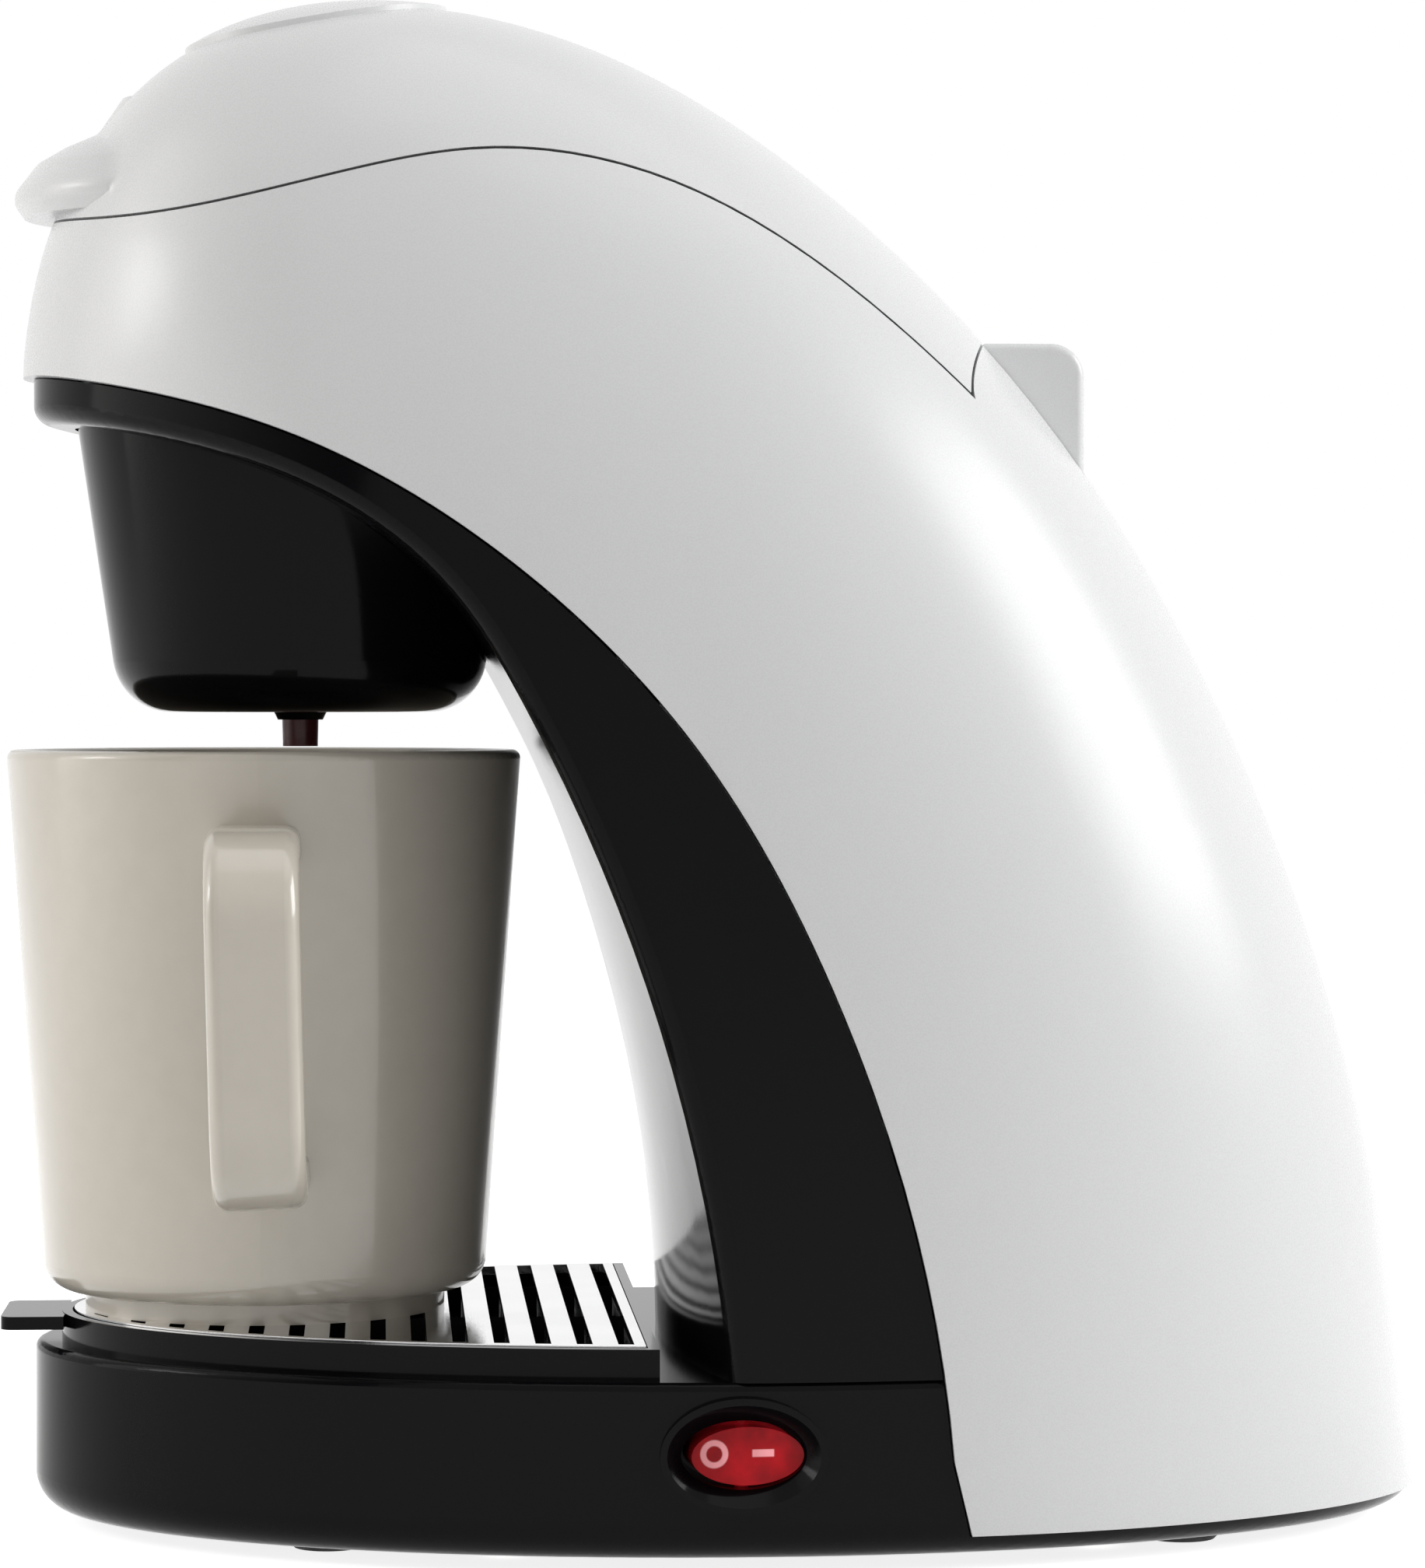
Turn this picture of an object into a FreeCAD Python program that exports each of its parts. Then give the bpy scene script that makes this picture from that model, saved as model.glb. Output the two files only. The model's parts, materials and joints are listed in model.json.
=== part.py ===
import FreeCAD, Part
import math
import os
import re
import Sketcher

# Single-serve drip coffee maker with its mug.
# Millimetres, +Z up, the front towards -Y, the switch on the +X flank.
# The origin is on the table, under the centre of the oval base.

Vector = FreeCAD.Vector
CLOSE = 0.01
UPRIGHT = Vector(0, 0, 1)
SIDEWAYS = Vector(1, 0, 0)
LENGTHWAYS = Vector(0, 1, 0)

SIZES = {
    # Oval plan shared by the base, the column and the head
    "half_width": 62,
    "half_length": 107.3,
    "wall": 2.4,
    "seam": 0.3,
    "fit": 0.05,
    # Base
    "foot_height": 2,
    "base_top": 28,
    "base_round": 6,
    "base_edge": 1.2,
    "deck_thickness": 2.4,
    "cover_inset": 7.2,
    "cover_thickness": 2.2,
    "ledge_width": 3,
    "ledge_thickness": 2.2,
    "hatch_half_width": 32,
    "hatch_front_y": -8.5,
    "deck_rear_y": 1,
    "lip_height": 5,
    "lip_front_y": 34,
    # Screws that hold the bottom cover, and the rubber feet
    "screw_front_x": 40,
    "screw_front_y": -36,
    "screw_rear_x": 37,
    "screw_rear_y": 52,
    "screw_radius": 1.5,
    "screw_length": 11,
    "screw_head_radius": 3,
    "screw_head_height": 1.6,
    "boss_radius": 4,
    "boss_top": 30,
    "rib_thickness": 3,
    "rib_foot": 14,
    "foot_radius": 6,
    "foot_recess": 0.8,
    "foot_round": 0.8,
    "foot_x": 30,
    "foot_front_y": -62,
    "foot_rear_y": 66,
    "vent_width": 3,
    "vent_length": 26,
    "vent_pitch": 7,
    "vent_count": 5,
    "vent_y": 60,
    # Crown line of the white body in the middle plane, from the rear foot over the top to the chin;
    # an amount in is measured from the nearer end of the oval, and is less than 0 where it stands proud
    "shell_foot": 5.3,
    "back_low_in": 3.1,
    "back_low_z": 31.5,
    "back_mid_in": 14.5,
    "back_mid_z": 80.2,
    "back_high_in": 33.7,
    "back_high_z": 128.6,
    "nape_y": 46.8,
    "nape_z": 171.5,
    "slope_y": 18.1,
    "slope_z": 201.2,
    "shoulder_y": -18.9,
    "shoulder_z": 225,
    "crown_y": -54,
    "crown_z": 232.8,
    "brow_in": 22.2,
    "brow_z": 224.7,
    "face_in": 7.8,
    "face_z": 209.5,
    "front_in": 0.9,
    "front_z": 190.9,
    "chin_in": -1.3,
    "chin_z": 166,
    # The white body's sections fan out from a rail inside the column
    "rail_y": 4,
    "rail_mid_z": 70,
    "rail_bend_y": -8,
    "rail_bend_z": 108,
    "rail_end_y": -41,
    "rail_end_z": 142,
    "flank_fullness": 0.5,
    "fan_sections": 11,
    "section_points": 5,
    "hollow_overrun": 4,
    # Side view of the edge where the white shell meets the black frame
    "arch_front_z": 175.6,
    "arch_a_in": 15.3,
    "arch_a_z": 172.6,
    "arch_b_y": -66,
    "arch_b_z": 164.6,
    "arch_c_y": -35.4,
    "arch_c_z": 146.3,
    "arch_d_y": -8.9,
    "arch_d_z": 119.5,
    "arch_e_y": 11.2,
    "arch_e_z": 83.7,
    "arch_f_y": 23.4,
    "arch_f_z": 47.7,
    "arch_foot_y": 28.6,
    "arch_foot_z": 16,
    "arch_heel_y": 31.2,
    # Side view of the bay for the mug: column face, then the underside of the head
    "column_foot_y": -11.2,
    "column_low_y": -15.5,
    "column_low_z": 69.4,
    "column_mid_y": -24,
    "column_mid_z": 100.9,
    "column_high_y": -37.6,
    "column_high_z": 132,
    "vault_y": -60.1,
    "vault_z": 155.1,
    "soffit_in": 23.3,
    "soffit_z": 164,
    "soffit_front_z": 168.7,
    "column_bulge": 8,
    "column_edge": 3,
    "bay_sections": 8,
    # Parting line between lid and shell, side view
    "part_front_z": 199.6,
    "part_a_in": 27.1,
    "part_a_z": 199.2,
    "part_b_y": -58.5,
    "part_b_z": 203.8,
    "part_top_y": -38,
    "part_top_z": 207.2,
    "part_c_y": -12.7,
    "part_c_z": 203.3,
    "part_d_y": 10.8,
    "part_d_z": 190.8,
    "lid_gap": 0.6,
    "rim_drop": 3,
    "rim_rise": 2.5,
    # Hinge
    "hinge_y": 47,
    "hinge_z": 171.5,
    "hinge_sweep": 13.1,
    "block_half_width": 16,
    "block_front_y": 35.5,
    "block_rear_y": 53.3,
    "block_top_z": 180.7,
    "block_round": 5,
    "block_edge": 1.2,
    "block_foot_z": 157,
    "pin_radius": 1.5,
    "arm_half_width": 6,
    "arm_radius": 5.2,
    "arm_reach": 17,
    # Thumb beak at the front of the lid, turned about an upright axis, and the raised pad on the crown
    "beak_tip_in": -3.4,
    "beak_plan_radius": 27,
    "beak_under_z": 200.2,
    "beak_tip_z": 203,
    "beak_nose": 4,
    "beak_nose_z": 208.2,
    "beak_top": 8,
    "beak_top_z": 210.6,
    "beak_neck": 13.2,
    "beak_neck_z": 212.9,
    "beak_root": 17,
    "beak_root_z": 218.5,
    "beak_soft": 2.6,
    "pad_y": -64,
    "pad_half_length": 20,
    "pad_half_width": 19,
    "pad_rise": 0.8,
    "pad_foot_z": 215,
    # Lid liner and shower
    "liner_clearance": 0.3,
    "liner_thickness": 1.6,
    "liner_z": 211,
    "shower_gap": 8.6,
    "shower_wall": 1.6,
    "shower_floor_z": 194,
    "shower_hole_radius": 1,
    "shower_ring_inset": 9,
    "shower_ring_holes": 10,
    # Deck under the lid
    "deck_z": 182,
    "deck_plate": 2.4,
    "deck_end_y": 14,
    "mouth_half_width": 30,
    "shelf_width": 3,
    "shelf_thickness": 2.5,
    # Brew bowl, its outlet and the filter basket
    "bowl_wall": 2,
    "bowl_clearance": 1,
    "bowl_rim_thickness": 1.6,
    "bowl_ledge": 3.3,
    "bowl_neck_z": 168,
    "bowl_taper": 6.5,
    "bowl_floor_z": 124.4,
    "bowl_round": 9,
    "bowl_gap": 0.5,
    "outlet_radius": 4.1,
    "outlet_drop": 1.2,
    "nozzle_radius": 2.8,
    "nozzle_bore": 1.7,
    "nozzle_tip_z": 119.1,
    "nozzle_flange": 4.6,
    "nozzle_taper": 0.1,
    "nozzle_lip": 1,
    "filter_rim_gap": 1.9,
    "filter_rim_thickness": 1.6,
    "filter_top_gap": 3.4,
    "filter_floor_gap": 7,
    "filter_floor_z": 134,
    "filter_wall": 1.4,
    "filter_band": 7,
    "filter_windows": 6,
    "filter_rib": 5,
    "mesh_wall": 0.5,
    "tab_height": 5,
    "tab_width": 12,
    # Water tank
    "tank_floor_z": 62,
    "tank_clearance": 0.8,
    "tank_wall": 2,
    "tank_low_y": 6,
    "tank_mid_y": -8,
    "tank_mid_z": 100,
    "tank_high_y": -17.5,
    "tank_high_z": 140,
    "tank_roof_y": 48,
    "tank_roof_z": 140,
    # Water way: one tube size, one hose size
    "tube_radius": 4.5,
    "tube_bore": 3,
    "hose_wall": 1.9,
    "hose_bend": 10,
    "inlet_x": 22,
    "inlet_y": 14,
    "spigot_drop": 12,
    "riser_foot_z": 42,
    "riser_low_z": 54,
    "riser_mid_y": -14.7,
    "riser_high_y": -24,
    "riser_bend": 30,
    "spout_radius": 4.2,
    "spout_bore": 2.6,
    "spout_taper": 0.8,
    "spout_top_z": 195,
    "spout_flange_radius": 5.2,
    "valve_z": 38,
    "valve_height": 10,
    "valve_bore": 2,
    "clamp_width": 4,
    "clamp_thickness": 0.8,
    # Heater
    "heater_z": 24,
    "heater_front_y": 27,
    "heater_bend_in": 25.3,
    "heater_run": 4,
    "hose_overlap": 6,
    "element_radius": 3.5,
    "element_lead": 3.4,
    "lead_radius": 1.5,
    "strap_y": 40,
    "strap_width": 12,
    "strap_thickness": 1.2,
    "strap_foot": 12,
    "heater_screw_length": 6,
    "cradle_y": 52,
    "cradle_thickness": 3,
    "post_x": 36,
    "post_radius": 4.5,
    "post_top": 10,
    "thermostat_radius": 8,
    "thermostat_height": 6,
    "thermostat_cap_radius": 5.5,
    "thermostat_cap_height": 3,
    "terminal_width": 4,
    "terminal_height": 6,
    "terminal_thickness": 0.8,
    "terminal_spacing": 6,
    "fuse_radius": 2.2,
    "fuse_length": 12,
    "fuse_y": 54,
    # Switch on the flank
    "switch_y": -2.2,
    "switch_z": 17.6,
    "bezel_half_length": 12.1,
    "bezel_half_height": 8.4,
    "bezel_thickness": 1.6,
    "neck_half_length": 10.4,
    "neck_half_height": 6.2,
    "neck_depth": 9,
    "rocker_half_length": 8.2,
    "rocker_half_height": 4.2,
    "rocker_clearance": 0.8,
    "rocker_set_in": 5,
    "rocker_depth": 2.4,
    "rocker_tilt": 6,
    "rocker_pin": 1,
    "rocker_proud": 0.5,
    "bezel_rim": 1,
    "dish_depth": 2.2,
    "switch_body_depth": 12,
    "switch_body_half_length": 9.6,
    "switch_body_half_height": 5.6,
    # Cord gland at the back
    "gland_z": 17,
    "gland_radius": 4,
    "gland_flange_radius": 6,
    "gland_flange_thickness": 1.4,
    "gland_depth": 8,
    "gland_bore": 2.6,
    # Drip tray and grate
    "tray_inset": 4,
    "tray_rear_y": -14,
    "tray_floor": 1.2,
    "tray_wall": 1.6,
    "tray_top": 32.4,
    "grate_top": 32.7,
    "grate_thickness": 1.4,
    "grate_frame": 1.6,
    "slot_width": 2.3,
    "slot_pitch": 6,
    "slot_count": 14,
    "slot_first_y": -17.5,
    "rib_half_spacing": 20,
    "rib_width": 1.6,
    "pull_tip_in": -4.8,
    "pull_half_width": 11,
    "pull_top": 32.3,
    "pull_thickness": 2,
    # Mug, a little wider than the bowl above it
    "mug_ahead": 5.5,
    "mug_wider": 2.2,
    "mug_taper": 5.7,
    "mug_rim_z": 118.6,
    "mug_heel": 4.5,
    "mug_foot_set_back": 6.2,
    "mug_foot_height": 3.2,
    "mug_wall": 3.2,
    "mug_floor": 5,
    "mug_inner_round": 6,
    "mug_lip": 1.3,
    "handle_reach": 71.5,
    "handle_top_z": 107.8,
    "handle_foot_z": 52.9,
    "handle_width": 13.6,
    "handle_thickness": 6.4,
    "handle_edge": 2.2,
    "handle_bend": 11,
    "handle_lean": 1.2,
}

# Places and radii that follow from the sizes
DERIVED = {
    "bowl_rim_radius": "(half_length - wall - bowl_clearance + riser_high_y - spout_flange_radius) / 2",
    "bowl_y": "bowl_rim_radius + wall + bowl_clearance - half_length",
    "bowl_neck_radius": "bowl_rim_radius - bowl_ledge",
    "bowl_floor_radius": "bowl_neck_radius - bowl_taper",
    "filter_rim_radius": "bowl_rim_radius - filter_rim_gap",
    "filter_top_radius": "bowl_neck_radius - filter_top_gap",
    "filter_floor_radius": "bowl_floor_radius - filter_floor_gap",
    "shower_radius": "filter_top_radius - shower_gap",
    "shower_ring_radius": "shower_radius - shower_ring_inset",
    "mug_y": "bowl_y - mug_ahead",
    "mug_rim_radius": "bowl_rim_radius + mug_wider",
    "mug_low_radius": "mug_rim_radius - mug_taper",
    "mug_foot_radius": "mug_low_radius - mug_foot_set_back",
    "heater_bend": "inlet_x - heater_run / 2",
    "rocker_axis_x": "half_width - rocker_set_in",
}
for name in ("back_low", "back_mid", "back_high", "heater_bend"):
    DERIVED[name + "_y"] = "half_length - %s_in" % name
for name in ("brow", "face", "front", "chin", "arch_a", "soffit", "part_a", "beak_tip", "pull_tip"):
    DERIVED[name + "_y"] = "%s_in - half_length" % name

doc = FreeCAD.newDocument("DripCoffeeMaker")
sheet = doc.addObject("Spreadsheet::Sheet", "Sizes")
for row, (alias, amount) in enumerate(SIZES.items(), start=1):
    sheet.set("A%d" % row, alias)
    sheet.set("B%d" % row, str(amount))
    sheet.setAlias("B%d" % row, alias)
doc.recompute()


# Small helpers

def linked(expression):
    """The expression with every size's name pointed at its cell, and derived names worked out."""
    def cell(word):
        name = word.group()
        if name in DERIVED:
            return "(%s)" % linked(DERIVED[name])
        return "Sizes." + name if name in SIZES else name
    return re.sub("[a-z_]+", cell, expression)


def size(expression):
    """The present value of an expression of sizes."""
    return float(sheet.evalExpression(linked(expression)))


def bind(item, links):
    for path, expression in links.items():
        item.setExpression(path, linked(expression))
    return item


def place(item, x="0", y="0", z="0"):
    return bind(item, {"Placement.Base.x": x, "Placement.Base.y": y, "Placement.Base.z": z})


def turn(item, axis, angle):
    item.Placement = FreeCAD.Placement(item.Placement.Base, FreeCAD.Rotation(axis, angle))
    return item


def box(name, x_from, x_to, y_from, y_to, z_from, z_to):
    item = doc.addObject("Part::Box", name)
    spans = {"Length": (x_to, x_from), "Width": (y_to, y_from), "Height": (z_to, z_from)}
    bind(item, {side: "(%s) - (%s)" % ends for side, ends in spans.items()})
    return place(item, x_from, y_from, z_from)


def cylinder(name, radius, x, y, z_from, z_to):
    item = doc.addObject("Part::Cylinder", name)
    bind(item, {"Radius": radius, "Height": "(%s) - (%s)" % (z_to, z_from)})
    return place(item, x, y, z_from)


def cross_cylinder(name, radius, x_from, x_to, y, z):
    """A cylinder along X."""
    item = doc.addObject("Part::Cylinder", name)
    turn(item, LENGTHWAYS, 90)
    bind(item, {"Radius": radius, "Height": "(%s) - (%s)" % (x_to, x_from)})
    return place(item, x_from, y, z)


def oval(name, inset, low, high):
    """An upright prism on the oval plan, drawn in by the inset."""
    outline = doc.addObject("Part::Ellipse", name + "_outline")
    turn(outline, UPRIGHT, 90)
    bind(outline, {"MajorRadius": "half_length - (%s)" % inset, "MinorRadius": "half_width - (%s)" % inset})
    place(outline, z=low)
    return extruded(name, outline, UPRIGHT, "(%s) - (%s)" % (high, low))


def flank_outline(name, half_length, half_height, x):
    """The switch's upright oval, drawn on the flank."""
    outline = doc.addObject("Part::Ellipse", name)
    outline.Placement.Rotation = FreeCAD.Rotation(LENGTHWAYS, UPRIGHT, SIDEWAYS, "XYZ")
    bind(outline, {"MajorRadius": half_length, "MinorRadius": half_height})
    return place(outline, x, "switch_y", "switch_z")


def flank_oval(name, half_length, half_height, x_from, x_to):
    """A prism along X on the switch's upright oval."""
    outline = flank_outline(name + "_outline", half_length, half_height, x_from)
    return extruded(name, outline, SIDEWAYS, "(%s) - (%s)" % (x_to, x_from))


def extruded(name, outline, direction, length):
    prism = doc.addObject("Part::Extrusion", name)
    prism.Base = outline
    prism.DirMode = "Custom"
    prism.Dir = direction
    prism.Solid = True
    return bind(prism, {"LengthFwd": length})


def joined(name, *pieces):
    item = doc.addObject("Part::MultiFuse", name)
    item.Shapes = list(pieces)
    return item


def shared(name, *pieces):
    item = doc.addObject("Part::MultiCommon", name)
    item.Shapes = list(pieces)
    return item


def without(name, base, *tools):
    item = doc.addObject("Part::Cut", name)
    item.Base = base
    item.Tool = tools[0] if len(tools) == 1 else joined(name + "_cuts", *tools)
    return item


def feature(name, shape):
    item = doc.addObject("Part::Feature", name)
    item.Shape = shape
    return item


def moved(name, source, offset):
    """A copy of a finished shape, shifted."""
    shape = source.Shape.copy()
    shape.translate(offset)
    return feature(name, shape)


def gathered(name, source, offsets):
    """Separate equal solids, one at each offset."""
    doc.recompute()
    copies = []
    for offset in offsets:
        copy = source.Shape.copy()
        copy.translate(offset)
        copies.append(copy)
    return feature(name, Part.makeCompound(copies))


def rounded(name, source, radius, wanted):
    """The source with every edge that the test accepts rounded."""
    doc.recompute()
    item = doc.addObject("Part::Fillet", name)
    item.Base = source
    amount = size(radius)
    edges = enumerate(source.Shape.Edges, start=1)
    item.Edges = [(number, amount, amount) for number, edge in edges if wanted(edge)]
    return item


def at_height(height):
    level = size(height)
    return lambda edge: max(abs(edge.BoundBox.ZMin - level), abs(edge.BoundBox.ZMax - level)) < CLOSE


def origin_plane(body, role):
    return next(item for item in body.Origin.OriginFeatures if item.Role == role)


def profile(body, role, corners):
    """A closed sketch of straight sides through corners whose two coordinates follow the sheet."""
    sketch = body.newObject("Sketcher::SketchObject", body.Name + "_profile")
    sketch.AttachmentSupport = [(origin_plane(body, role), "")]
    sketch.MapMode = "FlatFace"
    points = [Vector(size(across), size(along), 0) for across, along in corners]
    count = len(points)
    for index in range(count):
        sketch.addGeometry(Part.LineSegment(points[index], points[(index + 1) % count]))
    for index in range(count):
        sketch.addConstraint(Sketcher.Constraint("Coincident", index, 2, (index + 1) % count, 1))
    for index, (across, along) in enumerate(corners):
        corner = points[index]
        for kind, expression, amount in (("DistanceX", across, corner.x), ("DistanceY", along, corner.y)):
            number = sketch.addConstraint(Sketcher.Constraint(kind, -1, 1, index, 1, amount))
            sketch.setExpression("Constraints[%d]" % number, linked(expression))
    return sketch


def new_body(name):
    return doc.addObject("PartDesign::Body", name)


def turned(name, corners, y="0"):
    """A body turned about an upright axis from a half profile of (radius, height) corners."""
    body = new_body(name)
    sketch = profile(body, "XZ_Plane", corners)
    solid = body.newObject("PartDesign::Revolution", name + "_turned")
    solid.Profile = sketch
    solid.ReferenceAxis = (sketch, ["V_Axis"])
    solid.Angle = 360
    body.Tip = solid
    return place(body, y=y)


def padded(name, role, corners, length):
    """A body drawn out evenly to both sides of one of its middle planes."""
    body = new_body(name)
    solid = body.newObject("PartDesign::Pad", name + "_pad")
    solid.Profile = profile(body, role, corners)
    solid.Midplane = True
    bind(solid, {"Length": length})
    body.Tip = solid
    return body


def side_point(y, z):
    return Vector(0, size(y), size(z))


def smooth_edge(points):
    curve = Part.BSplineCurve()
    curve.interpolate(points)
    return curve.toShape()


def side_slab(edges):
    """A side view drawn in the middle plane, run out past both flanks."""
    reach = size("half_width") * 1.5
    face = Part.Face(Part.Wire(Part.sortEdges(edges)[0]))
    face.translate(SIDEWAYS * -reach)
    return face.extrude(SIDEWAYS * (2 * reach))


def chain(points):
    return [Part.makeLine(first, second) for first, second in zip(points, points[1:])]


def bent_path(points, bend):
    """Straight runs joined by tangent arcs of one radius."""
    edges = []
    start = points[0]
    for before, corner, after in zip(points, points[1:], points[2:]):
        back = (before - corner).normalize()
        ahead = (after - corner).normalize()
        half = back.getAngle(ahead) / 2
        setback = bend / math.tan(half)
        middle = corner + (back + ahead).normalize() * (bend / math.sin(half) - bend)
        edges.append(Part.makeLine(start, corner + back * setback))
        edges.append(Part.Arc(corner + back * setback, middle, corner + ahead * setback).toShape())
        start = corner + ahead * setback
    edges.append(Part.makeLine(start, points[-1]))
    return Part.Wire(edges)


def rod(points, bend, radius):
    """A round bar along a bent path."""
    path = bent_path(points, bend)
    ring = Part.Wire(Part.makeCircle(radius, points[0], points[1] - points[0]))
    return path.makePipeShell([ring], True, False)


def pipe(points, bend, radius, bore):
    """A round tube along a bent path, open at both ends."""
    overshoot_start = points[0] + (points[0] - points[1]).normalize()
    overshoot_end = points[-1] + (points[-1] - points[-2]).normalize()
    inner = rod([overshoot_start] + points[1:-1] + [overshoot_end], bend, bore)
    return rod(points, bend, radius).cut(inner)


# White body: one smooth form, cut later into shell and lid

CROWN_NAMES = ["back_low", "back_mid", "back_high", "nape", "slope", "shoulder", "crown", "brow", "face",
               "front", "chin"]


def fan_section(root, tip, inset, along):
    """A section across the white body, from its root inside the column out to the crown line.

    The flanks bend over to the crown as a superellipse that is fullest halfway along the fan.
    """
    ray = (tip - root).normalize()
    lead = max(0, -root.y)
    reach = (tip - root).Length + lead - inset
    width = size("half_width") - inset
    power = 2 + size("flank_fullness") * math.sin(math.pi * along)
    first = math.asin((lead / reach) ** (power / 2))
    steps = int(size("section_points"))
    near_side = []
    if inset:
        inner_end = root - ray * size("hollow_overrun")
        near_side.append(inner_end + SIDEWAYS * width * math.cos(first) ** (2 / power))
    for step in range(steps):
        angle = first + (math.pi / 2 - first) * step / steps
        outward = reach * math.sin(angle) ** (2 / power) - lead
        near_side.append(root + ray * outward + SIDEWAYS * width * math.cos(angle) ** (2 / power))
    far_side = [Vector(-point.x, point.y, point.z) for point in reversed(near_side)]
    arch = near_side + [root + ray * (reach - lead)] + far_side
    return Part.Wire([smooth_edge(arch), Part.makeLine(arch[-1], arch[0])])


def white_form(inset):
    """The whole white body, drawn in by the inset, and run down past the foot when it is a hollow."""
    foot = side_point("half_length", "shell_foot")
    crown = smooth_edge([foot] + [side_point(name + "_y", name + "_z") for name in CROWN_NAMES])
    rail = smooth_edge([side_point("rail_y", "shell_foot"), side_point("rail_y", "rail_mid_z"),
                        side_point("rail_bend_y", "rail_bend_z"), side_point("rail_end_y", "rail_end_z")])
    count = int(size("fan_sections"))
    pairs = zip(rail.discretize(count + 1), crown.discretize(count + 1))
    sections = [fan_section(root, tip, inset, index / count) for index, (root, tip) in enumerate(pairs)]
    if inset:
        for section, place_in_list in ((sections[0], 0), (sections[-1], len(sections) + 1)):
            past = section.copy()
            past.translate(UPRIGHT * -size("shell_foot"))
            sections.insert(place_in_list, past)
    return Part.makeLoft(sections, True, False)


# Forms that cut the body run past its ends by these shares; the column's bulge never fades right out
PAST = 1.2
FAR_PAST = 1.5
LEAST_BULGE = 0.05


def arch_space():
    """Everything in front of and below the edge between the white shell and the black frame."""
    front = -FAR_PAST * size("half_length")
    under = -size("shell_foot")
    points = [side_point("-half_length", "arch_front_z")]
    points += [side_point("arch_%s_y" % letter, "arch_%s_z" % letter) for letter in "abcdef"]
    points.append(side_point("arch_foot_y", "arch_foot_z"))
    heel = side_point("arch_heel_y", "shell_foot")
    straight = chain([points[-1], heel, Vector(0, heel.y, under), Vector(0, front, under),
                      Vector(0, front, points[0].z), points[0]])
    return side_slab([smooth_edge(points)] + straight)


def lid_space(rise):
    """Everything above the parting line and in front of the hinge's sweep, raised by the given amount."""
    front = -FAR_PAST * size("half_length")
    top = PAST * size("crown_z")
    hinge = side_point("hinge_y", "hinge_z")
    sweep = size("hinge_sweep") + rise
    points = [Vector(0, front, size("part_front_z")), side_point("front_y", "part_front_z")]
    points += [side_point("part_%s_y" % name, "part_%s_z" % name) for name in ("a", "b", "top", "c", "d")]
    for point in points:
        point.z += rise
    points.append(hinge + Vector(0, -math.sqrt(sweep ** 2 - (2 * rise) ** 2), 2 * rise))
    over = hinge + UPRIGHT * sweep
    around = hinge + Vector(0, -1, 1).normalize() * sweep
    outside = chain([over, Vector(0, over.y, top), Vector(0, front, top), points[0], points[1]])
    return side_slab([smooth_edge(points[1:]), Part.Arc(points[-1], around, over).toShape()] + outside)


def bay_space():
    """The room for the mug, from the deck up to the underside of the head."""
    front = -FAR_PAST * size("half_length")
    reach = PAST * size("half_width")
    low = size("base_top - base_round")
    names = ["column_low", "column_mid", "column_high", "vault", "soffit"]
    points = [Vector(0, size("column_foot_y"), low)]
    points += [side_point(name + "_y", name + "_z") for name in names]
    points.append(side_point("-half_length", "soffit_front_z"))
    points.append(Vector(0, -PAST * size("half_length"), size("soffit_front_z + seam")))
    sections = []
    for point in smooth_edge(points).discretize(int(size("bay_sections")) + 1):
        fade = max(LEAST_BULGE, (size("column_high_z") - point.z) / (size("column_high_z") - low))
        set_back = size("column_bulge") * fade * (reach / size("half_width")) ** 2
        across = [reach * share for share in (1, 0.5, 0, -0.5, -1)]
        face = [Vector(x, point.y + set_back * (x / reach) ** 2, point.z) for x in across]
        sides = chain([face[-1], Vector(-reach, front, point.z), Vector(reach, front, point.z), face[0]])
        sections.append(Part.Wire([smooth_edge(face)] + sides))
    return Part.makeLoft(sections, True, False)


body_form = feature("body_form", white_form(0))
body_hollow = feature("body_hollow", white_form(size("wall")))
body_skin = without("body_skin", body_form, body_hollow)
white_side = feature("arch_space", arch_space())
black_side = moved("frame_space", white_side, Vector(0, -1, -1) * size("seam"))
bay = feature("bay_space", bay_space())
bay_roof = moved("bay_roof", bay, Vector(0, 1, 1) * size("wall"))
lining = feature("lining", white_form(size("wall + liner_clearance")))
lining_inside = feature("lining_inside", white_form(size("wall + liner_clearance + liner_thickness")))
under_lid = feature("under_lid", lid_space(-size("lid_gap") / 2))
above_lid = feature("above_lid", lid_space(size("lid_gap") / 2))

FILTER_SEAT = "(deck_z + deck_plate + bowl_rim_thickness)"
FILTER_RIM = FILTER_SEAT + " + filter_rim_thickness"
SPIGOT_FOOT = "tank_floor_z - spigot_drop"
HOSE_END = "heater_front_y + hose_overlap"
HOSE_RADIUS = "tube_radius + hose_wall"
STRAP_TOP = "heater_z + tube_radius + fit"
NECK_END = "half_width - neck_depth"
ROOM_HALF_LENGTH = "rocker_half_length + rocker_clearance"
ROOM_HALF_HEIGHT = "rocker_half_height + rocker_clearance"
COVER_TOP = "foot_height + cover_thickness"
CAVITY_FOOT = "foot_height + cover_thickness + ledge_thickness"
SIDES = (1, -1)
ENDS = ("front", "rear")


# Base: a hollow oval tub with a deck, open below for the bottom cover and open above under the column

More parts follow.
